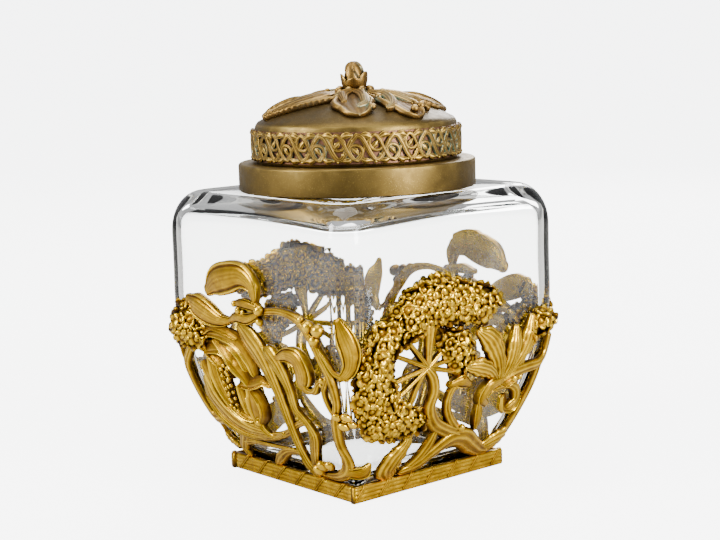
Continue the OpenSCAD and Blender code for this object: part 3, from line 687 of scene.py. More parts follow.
def turned(profile, name, wear=None, start=0.0, sweep=360.0):
    """A closed profile turned about the middle, all round or over an arc."""
    full = sweep >= 360
    n = TURNS if full else int(TURNS * sweep / 360)
    angles = np.radians(start + sweep * np.arange(n + (0 if full else 1)) / n)
    k = len(profile)
    p = np.array(profile, float)
    points = np.array([[r * math.cos(a), r * math.sin(a), z] for a in angles for r, z in p])
    m = len(angles)
    faces = [[i * k + j, i * k + (j + 1) % k, (i + 1) % m * k + (j + 1) % k, (i + 1) % m * k + j]
             for i in range(m if full else m - 1) for j in range(k)]
    if not full:
        faces += [list(range(k)), list(range((m - 1) * k, m * k))]
    mesh = bpy.data.meshes.new(name)
    mesh.from_pydata((points * MM).tolist(), [], faces)
    layer = mesh.attributes.new("wear", "FLOAT", "POINT")
    values = [0.55] * k if wear is None else wear
    layer.data.foreach_set("value", np.tile(values, m))
    mesh = tidy_mesh(mesh)
    mesh.set_sharp_from_angle(angle=math.radians(40))
    return mesh


def arc(cx, cz, r, a, b, steps=6):
    """Points on an arc, from angle a to angle b in degrees."""
    return [(cx + r * math.cos(math.radians(a + (b - a) * i / steps)),
             cz + r * math.sin(math.radians(a + (b - a) * i / steps))) for i in range(steps + 1)]


COLLAR_WALL, RIM_WALL, EDGE_R = 1.4, 1.2, 0.8
BORE = RIM_R - RIM_WALL
collar_profile = (
    [(COLLAR_R - COLLAR_WALL, GLASS_TOP), (COLLAR_R - 0.3, GLASS_TOP), (COLLAR_R, GLASS_TOP + 0.3)]
    + arc(COLLAR_R - EDGE_R, COLLAR_TOP - EDGE_R, EDGE_R, 0, 90)
    + [(BORE, COLLAR_TOP), (BORE, COLLAR_TOP - COLLAR_WALL),
       (COLLAR_R - COLLAR_WALL, COLLAR_TOP - COLLAR_WALL)])
# Wear and painted shade for each profile point: bright round the outer edge, dark in the bore and underneath,
# where shade is painted.
collar_wear_and_shade = [0.3, 0.4, 0.5] + [0.75] * 7 + [0.4, 0.2, 0.2]
collar = add_piece(turned(collar_profile, "collar_ring", collar_wear_and_shade), OLD_BRASS, "well", "old_brass",
                   "collar")

rim_profile = [(BORE, COLLAR_TOP)] + [(RIM_R, COLLAR_TOP)] + arc(RIM_R - 0.4, RIM_TOP - 0.4, 0.4, 0, 90, 4) \
    + arc(BORE + 0.4, RIM_TOP - 0.4, 0.4, 90, 180, 4)
rim = add_piece(turned(rim_profile, "guide_rim"), OLD_BRASS, "well", "old_brass", "inner_rim")

# %% [markdown]
# The lid's dome is a slice of a big sphere over an upright side, with a soft break between
# them. The inside follows it at the thickness of the sheet.

# %% Lid shell
LID_WALL, DOME_RISE, STUD_R = 0.8, DOME_TOP - SHOULDER_Z, 1.5
SPHERE_R = (LID_R ** 2 + DOME_RISE ** 2) / (2 * DOME_RISE)
SPHERE_Z = DOME_TOP - SPHERE_R


def dome_line(inset, steps=26):
    """The dome from the stud's hole out to its edge."""
    r = SPHERE_R - inset
    a, b = math.asin(STUD_R / r), math.asin((LID_R - 1.0 - inset) / r)
    return [(r * math.sin(a + (b - a) * i / steps), SPHERE_Z + r * math.cos(a + (b - a) * i / steps))
            for i in range(steps + 1)]


outside = dome_line(0) + [(LID_R - 0.35, SHOULDER_Z - 0.25), (LID_R, SHOULDER_Z - 1), (LID_R, LID_Z + 0.3),
                          (LID_R - 0.25, LID_Z)]
inside = [(LID_R - LID_WALL, LID_Z), (LID_R - LID_WALL, SHOULDER_Z - 1.4)] + dome_line(LID_WALL)[::-1]
# The shoulder is bright, and the inside of the dome is painted dark as shade.
shell_wear_and_shade = [0.35] * (len(outside) - 4) + [0.8, 0.7, 0.5, 0.6] + [0.3] * len(inside)
lid = add_piece(turned(outside + inside, "lid_dome", shell_wear_and_shade), OLD_BRASS, "lid", "old_brass",
                "lid_shell")
print("dome on a sphere of", round(SPHERE_R, 1), "mm")

# %% [markdown]
# ## The orchid casting
# It is drawn flat as routes of [u, z, half width, height] in millimetres. Stems come first
# and petals lie over them. The same casting is used on the front and, turned by half a turn,
# on the back.

# %% Orchid routes
ORCHID_STEMS = [
    [[4, 56.5, 1.6, 2], [11, 58, 1.2, 1.9], [18, 58.5, 1.2, 2], [25, 57, 1.6, 2.2], [30, 53, 1.9, 2.4],
     [33.5, 47, 1.5, 2.3], [36.8, 41, 1.6, 2.4], [37, 34, 1.3, 2.3], [34.2, 27, 1.7, 2.6],
     [32.2, 20, 1.7, 2.6], [31.6, 14, 1.9, 2.6], [28.5, 9.4, 2.0, 2.4], [23, 7, 1.7, 2.2],
     [16, 6.4, 1.3, 1.8]],
    [[33, 49.5, 0.9, 1.8], [36, 46.2, 1, 1.8], [38.6, 42.8, 0.9, 1.7], [42, 41.6, 1.1, 1.7]],
    [[34.5, 40, 1.1, 2], [32.2, 36.5, 0.9, 1.8], [32.6, 32.5, 0.9, 1.8], [35, 28.5, 1, 2]],
    [[24, 36, 1.1, 2], [28, 36, 1.2, 2.1], [30.6, 38.8, 1, 1.9], [34.2, 40.4, 1.2, 2]],
    [[20, 25, 1.1, 1.5], [14, 23, 1, 1.5], [7, 19, 1.1, 1.5], [0, 16.5, 1.4, 1.7], [-8, 14.8, 1.7, 2]],
    [[10, 12.6, 0.8, 1.5], [3, 11.8, 1.3, 1.7], [-3, 8.6, 1.9, 2.1], [-7, 5.6, 1.4, 2]],
    [[6, 12.8, 0.7, 1.5], [-4, 12.2, 0.9, 1.6], [-14, 11.8, 1.1, 1.8], [-19.5, 11, 1.4, 2]],
    [[-33, 41, 1.5, 2.2], [-37.2, 35, 1.5, 2.2], [-36.6, 28, 1.4, 2.2], [-34.2, 21, 1.7, 2.2],
     [-31.2, 17.5, 2.2, 2.2], [-26, 18.5, 2.6, 2]],
    [[-17, 14.5, 2.2, 2.2], [-20, 11.5, 2, 2.2], [-22.5, 8, 1.8, 2.2], [-22, 6, 1.6, 2]],
]
ORCHID_LEAVES = [
    # tall leaf down to the base, and the rolled one beside it
    [[-3, 51, 2.6, 1.8], [0, 48.4, 4.2, 2.3], [4.4, 44.4, 4.2, 2.6], [8.2, 38.5, 3, 2.8],
     [10.4, 31, 2.2, 2.8], [10.8, 22, 1.9, 2.7], [10.6, 14, 1.8, 2.6], [11.2, 9, 2.3, 2.8],
     [12, 6, 2.2, 2.4]],
    [[10, 44.6, 3.2, 2.8], [13.6, 41, 2.9, 3], [15.9, 35, 1.8, 2.6], [16.2, 28.5, 1.5, 2.4],
     [19.4, 24.6, 1.6, 2.4], [20.8, 20.5, 1.9, 2.6], [17.8, 15, 1.9, 2.5], [14.5, 9, 1.7, 2.4],
     [12.7, 6.4, 1.7, 2.3]],
    # broad leaf under the flower
    [[-27.6, 30.2, 2.8, 2], [-26.2, 25.6, 4.8, 2.5], [-20, 19.4, 4.8, 2.7], [-13, 16.8, 3.2, 2.5],
     [-5, 16.6, 1.6, 2.2]],
    [[-30.5, 24.6, 1.2, 2], [-26, 18.6, 2, 3.1], [-19, 15, 1.8, 3.1], [-11, 14.2, 1.3, 2.7],
     [-4, 16, 0.8, 2.3]],
    # twin stems that leave the flower for the foot
    [[-5.6, 21, 1.3, 2.6], [-4.6, 17.8, 1.4, 2.8], [-0.8, 15.9, 1, 2.4], [5, 18.2, 0.8, 2.1]],
]
ORCHID_PETALS = [
    [[5, 59.8, 0.8, 2], [4.0, 65, 2.5, 2.6], [-1.2, 67.6, 4, 2.9], [-8, 66.6, 5.1, 3.1],
     [-14.2, 64.8, 4.8, 2.8], [-18.6, 61.8, 2.2, 2]],
    [[-8, 53.2, 0.9, 1.8], [-13, 52.6, 2.2, 2.3], [-19, 54, 3.9, 2.8], [-25, 56, 4.1, 2.8],
     [-29.6, 57.3, 2.1, 2]],
    [[-5.5, 58.8, 0.8, 2], [0, 59.4, 1.7, 2.8], [5.5, 58.8, 1.4, 2.5]],
    [[-8.6, 53, 0.8, 1.8], [-4, 54.8, 1.8, 2.6], [1, 54.8, 1.9, 2.8], [6, 56.4, 1.3, 2.5]],
    [[42.4, 58, 1.6, 1.9], [43.9, 54, 3, 2.4], [44.9, 49.5, 3.1, 2.6], [44.3, 45.4, 2.3, 2.3],
     [42.6, 42.8, 1.8, 2], [40.3, 41.4, 0.9, 1.6]],
    [[13.5, 44.2, 1.2, 2.4], [18.5, 45.9, 2.4, 2.7], [23.4, 45, 3.5, 2.9], [25, 41, 3.8, 2.9],
     [23.8, 37.6, 2.5, 2.6], [24.9, 35.7, 1.2, 2]],
    [[26.5, 9.2, 1.2, 2], [32.4, 9.4, 2.2, 2.5], [35.8, 10.8, 1.2, 2], [38.2, 12.3, 0.4, 1.3]],
]
ORCHID_HOODS = [
    # the big flower, from its outer hood inwards
    [[-25.5, 45.5, 1, 1.8], [-20, 48.4, 1.8, 2.4], [-12, 48.6, 2.2, 2.9], [-4.5, 46.6, 2.6, 3],
     [-0.6, 42, 2.2, 2.8], [0.2, 37.5, 1.3, 2.3]],
    [[-26, 36.2, 2.2, 2], [-23.4, 31.5, 3, 2.4], [-19.6, 25.4, 3, 2.6], [-13.5, 21.2, 2.2, 2.6],
     [-8, 20.4, 1.2, 2.4]],
    [[-24.6, 40.8, 1.2, 2.7], [-20.6, 43.2, 2.1, 3.9], [-15, 44, 2.1, 3.9], [-9.8, 42, 1.5, 3.2]],
    [[-13.4, 46.2, 1.1, 3], [-8.4, 46.4, 1.7, 3.8], [-4.2, 43.6, 2, 3.6], [-2.6, 39.2, 1.6, 3]],
    [[-20.6, 39.8, 1.4, 3], [-19.8, 35, 2, 3.5], [-18.4, 30, 2.1, 3.5], [-15.6, 25.4, 1.8, 3.6],
     [-11.6, 22.4, 1.7, 3.8], [-8.4, 21.4, 1.2, 3.3]],
    [[-11.8, 41.8, 1.6, 3.4], [-7.6, 40.2, 2.5, 4.5], [-4.4, 36.8, 2.3, 3.9], [-3.4, 33.6, 1.2, 3]],
    [[-3.8, 32.6, 2.2, 2.3], [-2.6, 28.4, 4.4, 2.9], [-4.4, 23.2, 3.4, 2.8], [-6.4, 19, 1.3, 2.3]],
    [[-8.6, 31.6, 1.3, 3], [-7.9, 27.4, 1.6, 3.4], [-8.4, 23.4, 1.2, 3]],
    [[-8, 33.2, 1.6, 3], [-1.6, 34.2, 2.1, 3.6], [3.2, 35.6, 1.6, 3.1], [6.5, 34.2, 0.6, 2.2]],
    [[-16.8, 38.4, 1.1, 3.2], [-15.6, 33, 1.3, 3.6], [-14.6, 28.4, 1.1, 3.5]],
    # small folds between them
    [[-23, 42.8, 0.8, 3.4], [-18.6, 41.2, 1.2, 4.1], [-14.8, 38, 1.2, 4.2], [-12.8, 34.4, 0.7, 3.5]],
    [[-16.4, 46.4, 0.8, 3.2], [-12.2, 44.4, 1.3, 4.2], [-8.2, 40.4, 1.2, 4.6], [-6.6, 36.2, 0.7, 3.8]],
    [[-22.2, 35, 0.7, 2.8], [-21.2, 30, 1.1, 3.6], [-18, 25, 1.1, 3.7], [-13, 22, 0.8, 3.4]],
    [[-2.2, 31.4, 0.8, 3.1], [0.4, 28, 1.1, 3.5], [-0.2, 23.8, 1.0, 3.3], [-3.8, 20.2, 0.6, 2.9]],
    [[-23.6, 47.4, 0.7, 2.6], [-17.6, 50.2, 1.0, 3.0], [-10.6, 49.6, 0.9, 3.2], [-5.6, 48.2, 0.6, 2.8]],
]
ORCHID_BEADS = [
    [8, 58.2, 1.8], [7.4, 54.6, 1.4], [31, 56, 2.0], [35.4, 55.4, 2.1], [33.2, 52.2, 1.9],
    [27, 57.6, 1.2], [-5, 58.8, 1.1], [-2.8, 57, 1.3], [-0.6, 56.6, 1.1], [-3.6, 55, 0.9],
    [17, 8.4, 2.0], [19.8, 10.4, 1.9], [23.2, 11, 1.6], [-5.4, 20, 1.3],
    [36, 29.4, 1.5], [38.8, 29.4, 1.6], [36.9, 26.4, 1.6], [39.4, 27, 1.4], [37.6, 28, 1.0],
    [33.4, 40.2, 1.1], [32.4, 38.6, 0.8], [29.6, 57, 0.9],
]
ORCHID_HEADS = [
    [[-24, 45.4, 1.8, 2.2], [-29, 46.2, 4.2, 3], [-33.4, 47.6, 5.2, 3.2], [-37.2, 46, 4, 3],
     [-39.2, 45.4, 2.6, 2.4]],
    [[-29.6, 55, 1.4, 2.2], [-33, 52.4, 3.2, 2.8], [-36.2, 49, 2.8, 2.8]],
]
STAMENS = 22
print("orchid routes", len(ORCHID_STEMS + ORCHID_LEAVES + ORCHID_PETALS + ORCHID_HOODS))

# %% [markdown]
# ## The umbel casting
# An umbel is a flower head on rays that spread from one point. Its rays and stems are
# ribbons too, and the heads get their small florets in a later step.

# %% Umbel routes
HUB = [-12.5, 40.4]
UMBEL_STEMS = [[[*HUB, 0.9, 2.2], [x, z, r, 2]] for x, z, r in (
    (-27, 46.6, 0.65), (-21.5, 50, 0.65), (-5.5, 46, 0.8), (-3, 41.4, 0.7), (-1.5, 37.4, 0.7),
    (-26, 37.6, 1.0), (-23.5, 32.4, 0.75))] + [
    [[*HUB, 1, 2.2], [-12.6, 46, 1.5, 2.2], [-12.2, 52.5, 2.6, 2.4]],
    [[-12.2, 39.8, 1.3, 2.4], [-9.8, 37, 1.8, 2.7], [-8.3, 32.4, 1.9, 2.9], [-8.9, 27, 2.2, 2.9],
     [-5.6, 21.6, 2.4, 2.9], [0, 18.2, 2.4, 2.9], [6, 15.6, 2.2, 2.9]],
    [[-13.4, 39, 0.8, 1.6], [-15.6, 35, 1, 1.8], [-16.8, 30.5, 1.1, 1.8], [-19.4, 26.5, 1, 1.8]],
    [[3, 33.4, 1.8, 2.5], [-0.8, 31.4, 1.4, 2.3], [-1.4, 26.6, 1.4, 2.3], [1.2, 21.8, 1.6, 2.5],
     [6, 17, 1.8, 2.7]],
    [[-12, 6.4, 1.6, 2.4], [-7, 7.4, 2.1, 2.8], [-2, 10.8, 2.6, 3], [4, 14, 3.2, 3.2],
     [10, 13.4, 3.6, 3.2], [15.4, 9.8, 3.3, 3.2], [20, 7, 2.4, 2.9], [23, 6.2, 1.6, 2.5]],
    [[-3.6, 18, 1.2, 2.3], [-4.6, 14.4, 2, 2.7], [-7, 10, 2.1, 2.7], [-10.4, 7, 1.8, 2.4]],
    [[19.5, 30.4, 1.8, 2.7], [25, 32.6, 2.3, 3], [31, 33.4, 2.2, 2.8], [36.5, 34, 1.9, 2.5],
     [40.3, 37, 1.6, 2.2], [40.8, 42, 1.5, 2.2]],
    [[30.6, 9.6, 2, 2.4], [31.4, 14, 1.8, 2.4], [34, 21, 1.6, 2.3], [36.2, 28, 1.6, 2.3],
     [37.4, 34.5, 1.5, 2.2]],
    [[19, 28.6, 1.5, 2.5], [24.4, 28.9, 1.6, 2.8], [28, 26.6, 1.7, 2.9], [28.8, 23, 1.7, 2.9],
     [26.4, 21.4, 1.8, 3.1]],
]
UMBEL_LEAVES = [
    [[-14.4, 19.6, 1.2, 2], [-15, 16, 2.4, 2.6], [-17.8, 11.6, 4.1, 3], [-19, 8.6, 4.4, 3],
     [-18.2, 7, 3.2, 2.5]],
    [[9.2, 48, 2.0, 2.3], [12.8, 45.6, 3.8, 3.2], [16.4, 40, 3.3, 3.5], [18.4, 35, 2.5, 3.3],
     [19.2, 29.4, 1.7, 2.6]],
    [[24.2, 46.6, 1.8, 2.3], [24, 42.6, 3.2, 3.4], [23, 37, 2.7, 3.5], [20.8, 31, 1.7, 2.6]],
    [[31, 49, 1.9, 2.2], [30.4, 45, 3.4, 3.1], [27.6, 38.6, 3.1, 3.2], [22, 31.4, 1.7, 2.6]],
    [[5.4, 37.8, 1.8, 2.4], [9.6, 37, 3.1, 3.4], [14.4, 34.8, 2.5, 3.3], [19, 30, 1.7, 2.6]],
    [[20.5, 7, 1.9, 2.2], [25.6, 8.8, 3.3, 2.8], [30.4, 9.8, 3.4, 2.8], [35, 9.4, 1.9, 2.2]],
]
UMBEL_PETALS = [
    [[-1.6, 33.4, 1.2, 2.4], [2, 33.8, 2.2, 3.3], [5.2, 32.4, 1.4, 2.6]],
    [[19, 31, 2, 3], [14.6, 29.8, 2.5, 3.6], [12.6, 26.2, 2, 3.4], [15.2, 24, 1.2, 2.6]],
    [[12.4, 25, 0.9, 2.2], [12.9, 20.6, 1.4, 3], [14.2, 15.8, 0.7, 2.2]],
]
UMBEL_HOODS = [
    [[17.8, 32, 1.2, 2.8], [21.6, 30, 1.6, 3.4], [24.4, 30.8, 1.3, 3.2]],
    [[23.4, 24.6, 1.4, 2.6], [24.6, 21.4, 1.9, 3.3], [28, 20.6, 1.6, 3], [30.2, 22.8, 1, 2.4]],
]
UMBEL_BEADS = [[25.4, 30.6, 1.4], [28, 30.8, 1.2], [6.8, 17.4, 1.5], [-14.2, 20.4, 1.3]]
UMBEL_HEADS = [
    [[-13.4, 23.6, 2.6, 2.4], [-19, 24.6, 4.4, 3], [-27.4, 27, 5.6, 3.2], [-31.6, 34, 6.2, 3.4],
     [-33.2, 43, 5.2, 3.4], [-30.4, 51, 4.8, 3.4], [-26, 54.4, 2.6, 2.8]],
    [[-28, 49.8, 2.6, 2.4], [-22, 55.6, 5.6, 3.4], [-14.4, 59.4, 6.4, 3.6], [-6, 60, 6.2, 3.6],
     [0, 58.4, 4.8, 3.4], [6, 57.4, 5, 3.4], [11.2, 57, 4.2, 3], [14, 56.6, 2.2, 2.2]],
    [[-5.6, 47.4, 2.6, 2.4], [-1.4, 45.2, 4.6, 3.4], [1.2, 41.2, 4.2, 3.4], [0.8, 37, 2, 2.4]],
    [[32.6, 44.8, 1.8, 2.2], [35.4, 47.2, 3.4, 2.8], [38.2, 46.8, 3.2, 2.8], [39.8, 46.6, 1.8, 2.2]],
]
print("umbel routes", len(UMBEL_STEMS + UMBEL_LEAVES + UMBEL_PETALS + UMBEL_HOODS))

# %% Building both castings


def casting_of(lay, groups, beads=()):
    """A casting from (routes, section, settings) groups and a list of [u, z, radius] beads."""
    casting = Casting(lay)
    for routes, section, settings in groups:
        for route in routes:
            ribbon(casting, route, section, **settings)
    for u, z, r in beads:
        bead(casting, u, z, r, 0.9 + r * 0.75, 1.0)
    return casting


def stamen_beads():
    """Beads in a spiral file down the flower's heart."""
    return [[-12.4 + 1.9 * math.sin(i * 2.2) - 0.06 * i, 38.6 - 0.72 * i, 0.82 - 0.012 * i]
            for i in range(STAMENS)]


orchid = casting_of(on_glass, [
    (ORCHID_STEMS, stem_section, {}),
    (ORCHID_LEAVES, leaf_section, {}),
    (ORCHID_PETALS, petal_section, {"across": 27}),
    (ORCHID_HOODS, hood_section, {"across": 19}),
], ORCHID_BEADS)
for u, z, r in stamen_beads():
    bead(orchid, u, z, r, 3.1 + r * 0.5)
umbel = casting_of(on_glass, [
    (UMBEL_STEMS, stem_section, {}),
    (UMBEL_LEAVES, leaf_section, {"ruffle": 0.06, "across": 23}),
    (UMBEL_PETALS, petal_section, {"across": 21}),
    (UMBEL_HOODS, hood_section, {}),
], UMBEL_BEADS)
print("orchid points", orchid.count, "umbel points", umbel.count)

# %% [markdown]
# ## Florets by Geometry Nodes
# Each head is a low cushion, and Geometry Nodes scatter one small floret over it: points are
# dealt at a minimum distance, each floret stands on the cushion's normal, and its turn and
# size are drawn from a fixed seed. The result is turned into a plain mesh. Florets on the
# cushion's sides are tilted over, and some of their petals dip under the skin of the glass.

# %% A node tree with named inputs
SOCKETS = {"float": "NodeSocketFloat", "int": "NodeSocketInt", "object": "NodeSocketObject",
           "material": "NodeSocketMaterial"}


class Tree:
    def __init__(self, name, **inputs):
        self.group = bpy.data.node_groups.new(name, "GeometryNodeTree")
        face = self.group.interface
        face.new_socket("Geometry", in_out="INPUT", socket_type="NodeSocketGeometry")
        for key, kind in inputs.items():
            face.new_socket(key, in_out="INPUT", socket_type=SOCKETS[kind])
        face.new_socket("Geometry", in_out="OUTPUT", socket_type="NodeSocketGeometry")
        self.ins = self.group.nodes.new("NodeGroupInput").outputs
        self.out = self.group.nodes.new("NodeGroupOutput").inputs[0]

    def add(self, kind, settings=None, **links):
        """A node, with its sockets linked or set by name; a spare underscore is a space."""
        node = self.group.nodes.new(kind)
        for key, value in (settings or {}).items():
            setattr(node, key, value)
        for key, value in links.items():
            socket = next(s for s in node.inputs if s.name == key.replace("_", " ") and s.enabled)
            if isinstance(value, bpy.types.NodeSocket):
                self.group.links.new(value, socket)
            else:
                socket.default_value = value
        return node

    def finish(self, geometry, material):
        real = self.add("GeometryNodeRealizeInstances", Geometry=geometry)
        dressed = self.add("GeometryNodeSetMaterial", Geometry=real.outputs[0], Material=material)
        self.group.links.new(dressed.outputs[0], self.out)

    def grow(self, mesh, name, **values):
        """The tree's result on a mesh, as a plain mesh."""
        host = bpy.data.objects.new(name, mesh)
        bpy.context.scene.collection.objects.link(host)
        modifier = host.modifiers.new("tree", "NODES")
        modifier.node_group = self.group
        for item in self.group.interface.items_tree:
            if item.in_out == "INPUT" and item.name in values:
                modifier[item.identifier] = values[item.name]
        bpy.context.view_layer.update()
        grown = bpy.data.meshes.new_from_object(host.evaluated_get(bpy.context.evaluated_depsgraph_get()))
        host.modifiers.remove(modifier)
        bpy.data.objects.remove(host)
        grown.name = name
        grown.polygons.foreach_set("use_smooth", [True] * len(grown.polygons))
        return grown


print("a tree takes", ", ".join(SOCKETS))

# %% The floret
FLORET_R, FLORET_SIDES = 3.1, 20


def floret_object():
    """A small blossom of five lobes round a boss, with a closed back."""
    rings = [(0.20, 0.75), (0.36, 0.3), (0.62, 0.95), (0.9, 1.4), (1.0, 0.15)]
    points, wear, faces = [[0, 0, 0.9]], [0.75], []
    for share, height in rings:
        for j in range(FLORET_SIDES):
            a = math.tau * j / FLORET_SIDES
            lobe = abs(math.sin(2.5 * a)) ** 0.45
            r = FLORET_R * share * (1 if share < 0.5 else 0.74 + 0.26 * lobe)
            rise = height if share < 0.5 else height * (0.5 + 0.5 * lobe)
            points.append([r * math.cos(a), r * math.sin(a), rise])
            # Wear and painted shade: the raised lobes bright, the low parts and the back painted dark as
            # shade.
            wear.append(min(1.0, max(0.0, 1.2 * rise - 0.38)))
    points.append([0, 0, -0.6])
    wear.append(0)
    n = FLORET_SIDES
    faces += [[0, 1 + j, 1 + (j + 1) % n] for j in range(n)]
    for i in range(len(rings) - 1):
        faces += [[1 + i * n + j, 1 + (i + 1) * n + j, 1 + (i + 1) * n + (j + 1) % n,
                   1 + i * n + (j + 1) % n] for j in range(n)]
    base = 1 + (len(rings) - 1) * n
    faces += [[len(points) - 1, base + (j + 1) % n, base + j] for j in range(n)]
    mesh = bpy.data.meshes.new("floret")
    mesh.from_pydata((np.array(points) * MM).tolist(), [], faces)
    mesh.attributes.new("wear", "FLOAT", "POINT").data.foreach_set("value", wear)
    floret = bpy.data.objects.new("floret", tidy_mesh(mesh))
    bpy.context.scene.collection.objects.link(floret)
    return floret


floret = floret_object()
print("a floret has", len(floret.data.polygons), "faces")

# %% Scattering the florets
FLORET_SPACING, FLORET_SMALLEST, FLORET_LARGEST = 3.0 * MM, 0.75, 1.15
CUSHION_EDGE, DENSEST = 0.1, 4e6


def scatter_tree():
    tree = Tree("scatter_florets", Floret="object", Spacing="float", Seed="int", Smallest="float",
                Largest="float", Finish="material")
    wear = tree.add("GeometryNodeInputNamedAttribute", {"data_type": "FLOAT"}, Name="wear")
    upper = tree.add("FunctionNodeCompare", {"data_type": "FLOAT"}, A=wear.outputs[0],
                     B=CUSHION_EDGE)
    spread = tree.add("GeometryNodeDistributePointsOnFaces", {"distribute_method": "POISSON"},
                      Mesh=tree.ins["Geometry"], Selection=upper.outputs[0],
                      Distance_Min=tree.ins["Spacing"], Density_Max=DENSEST, Seed=tree.ins["Seed"])
    shape = tree.add("GeometryNodeObjectInfo", Object=tree.ins["Floret"])
    spin = tree.add("FunctionNodeRandomValue", {"data_type": "FLOAT"}, Min=0.0, Max=math.tau,
                    Seed=tree.ins["Seed"])
    axis = tree.add("ShaderNodeCombineXYZ", Z=spin.outputs[1])
    turn = tree.add("FunctionNodeEulerToRotation", Euler=axis.outputs[0])
    both = tree.add("FunctionNodeRotateRotation", {"rotation_space": "LOCAL"},
                    Rotation=spread.outputs["Rotation"], Rotate_By=turn.outputs[0])
    size = tree.add("FunctionNodeRandomValue", {"data_type": "FLOAT"}, Min=tree.ins["Smallest"],
                    Max=tree.ins["Largest"], Seed=tree.ins["Seed"])
    placed = tree.add("GeometryNodeInstanceOnPoints", Points=spread.outputs["Points"],
                      Instance=shape.outputs["Geometry"], Rotation=both.outputs[0],
                      Scale=size.outputs[1])
    joined = tree.add("GeometryNodeJoinGeometry", Geometry=tree.ins["Geometry"])
    tree.group.links.new(placed.outputs[0], joined.inputs[0])
    tree.finish(joined.outputs[0], tree.ins["Finish"])
    return tree


scatter = scatter_tree()


def heads(routes, name, turn, seed):
    cushion = casting_of(on_glass, [(routes, head_section, {})]).mesh(name + "_cushion", turn)
    return scatter.grow(cushion, name, Floret=floret, Spacing=FLORET_SPACING, Seed=seed,
                        Smallest=FLORET_SMALLEST, Largest=FLORET_LARGEST, Finish=GILT)


print(scatter.group.name, "has", len(scatter.group.nodes), "nodes")

# %% Placing the castings
SIDES = [("front", 0, orchid, "orchid_panel_front"), ("right", 90, umbel, "umbel_panel_right"),
         ("back", 180, orchid, "orchid_panel_back"), ("left", -90, umbel, "umbel_panel_left")]
for side, turn, casting, node in SIDES:
    kind = "orchid" if casting is orchid else "umbel"
    add_piece(casting.mesh(f"{kind}_{side}", turn), GILT, "well", "gilt", node)
    routes = ORCHID_HEADS if casting is orchid else UMBEL_HEADS
    add_piece(heads(routes, f"{kind}_florets_{side}", turn, 7 if turn in (0, 180) else 3), GILT,
              "well", "gilt", node)
bpy.data.objects.remove(floret)

# %% [markdown]
# ## Repeating a part by Geometry Nodes
# The vine on the lid band and the ribbon wraps on the rails are one short length, drawn
# once and repeated. A small tree deals out points, and each copy is moved by a step or
# turned by an angle for every point before it.

# %% Repeat tree


def repeat_tree():
    tree = Tree("repeat_part", Part="object", Count="int", Turn="float", Step="float", Finish="material")
    index = tree.add("GeometryNodeInputIndex").outputs[0]
    way = tree.add("ShaderNodeCombineXYZ", X=tree.ins["Step"]).outputs[0]
    axis = tree.add("ShaderNodeCombineXYZ", Z=tree.ins["Turn"]).outputs[0]
    moved = tree.add("ShaderNodeVectorMath", {"operation": "SCALE"}, Vector=way, Scale=index)
    turned_by = tree.add("ShaderNodeVectorMath", {"operation": "SCALE"}, Vector=axis, Scale=index)
    turn = tree.add("FunctionNodeEulerToRotation", Euler=turned_by.outputs[0])
    points = tree.add("GeometryNodePoints", Count=tree.ins["Count"], Position=moved.outputs[0])
    shape = tree.add("GeometryNodeObjectInfo", Object=tree.ins["Part"])
    placed = tree.add("GeometryNodeInstanceOnPoints", Points=points.outputs[0],
                      Instance=shape.outputs["Geometry"], Rotation=turn.outputs[0])
    joined = tree.add("GeometryNodeJoinGeometry", Geometry=tree.ins["Geometry"])
    tree.group.links.new(placed.outputs[0], joined.inputs[0])
    tree.finish(joined.outputs[0], tree.ins["Finish"])
    return tree


def repeated(host, part, name, finish, count, turn=0.0, step=0.0):
    """The host mesh with the part mesh repeated on it."""
    holder = bpy.data.objects.new("repeated_part", part)
    bpy.context.scene.collection.objects.link(holder)
    grown = repeat.grow(host, name, Part=holder, Count=count, Turn=turn, Step=step, Finish=finish)
    bpy.data.objects.remove(holder)
    return grown


def turned_copy(mesh, name, turn):
    copy = mesh.copy()
    copy.name = name
    copy.transform(Matrix.Rotation(math.radians(turn), 4, "Z"))
    return copy


repeat = repeat_tree()
print("made", repeat.group.name)

# %% [markdown]
# ## The lid band
# A thin strip round the lid's side carries two vines that cross each other in waves. Drops
# sit in the gaps, small leaves lean on the top edge and berries hang at the bottom. One
# wave is drawn flat, with s along the band, and repeated all round up to the hinge.

# %% Band strip
STRIP_T, HINGE_AIR = 0.35, 0.3
BAND_H = BAND_TOP - BAND_Z
gap_angle = math.degrees(math.asin((HINGE_W / 2 + HINGE_AIR) / LID_R))
strip_profile = [(LID_R - 0.05, BAND_Z + 0.1), (LID_R + STRIP_T, BAND_Z + 0.2),
                 (LID_R + STRIP_T, BAND_TOP - 0.4), (LID_R - 0.05, BAND_TOP - 0.3)]
strip = turned(strip_profile, "band_strip", [0.2, 0.3, 0.3, 0.2], 90 + gap_angle, 360 - 2 * gap_angle)
BAND_GROUND = old_brass("band_ground", 0.9, BROWN_TONES, False)
add_piece(strip, BAND_GROUND, "lid", "old_brass", "lid_band")

# %% One wave of the vines
WAVES, VINE_START = 17, gap_angle + 0.4
WAVE_ANGLE = (360 - 2 * VINE_START) / WAVES
PERIOD = math.radians(WAVE_ANGLE) * (LID_R + STRIP_T)
MIDDLE, SWING, VINE_LIFT = BAND_H / 2, 0.37 * BAND_H, 1.15


def on_band(flat):
    """Points (s, z, lift) on the strip, s running round the lid."""
    a, r = flat[:, 0] / (LID_R + STRIP_T), LID_R + STRIP_T - 0.12 + flat[:, 2]
    return np.column_stack([r * np.cos(a), r * np.sin(a), BAND_Z + flat[:, 1]])


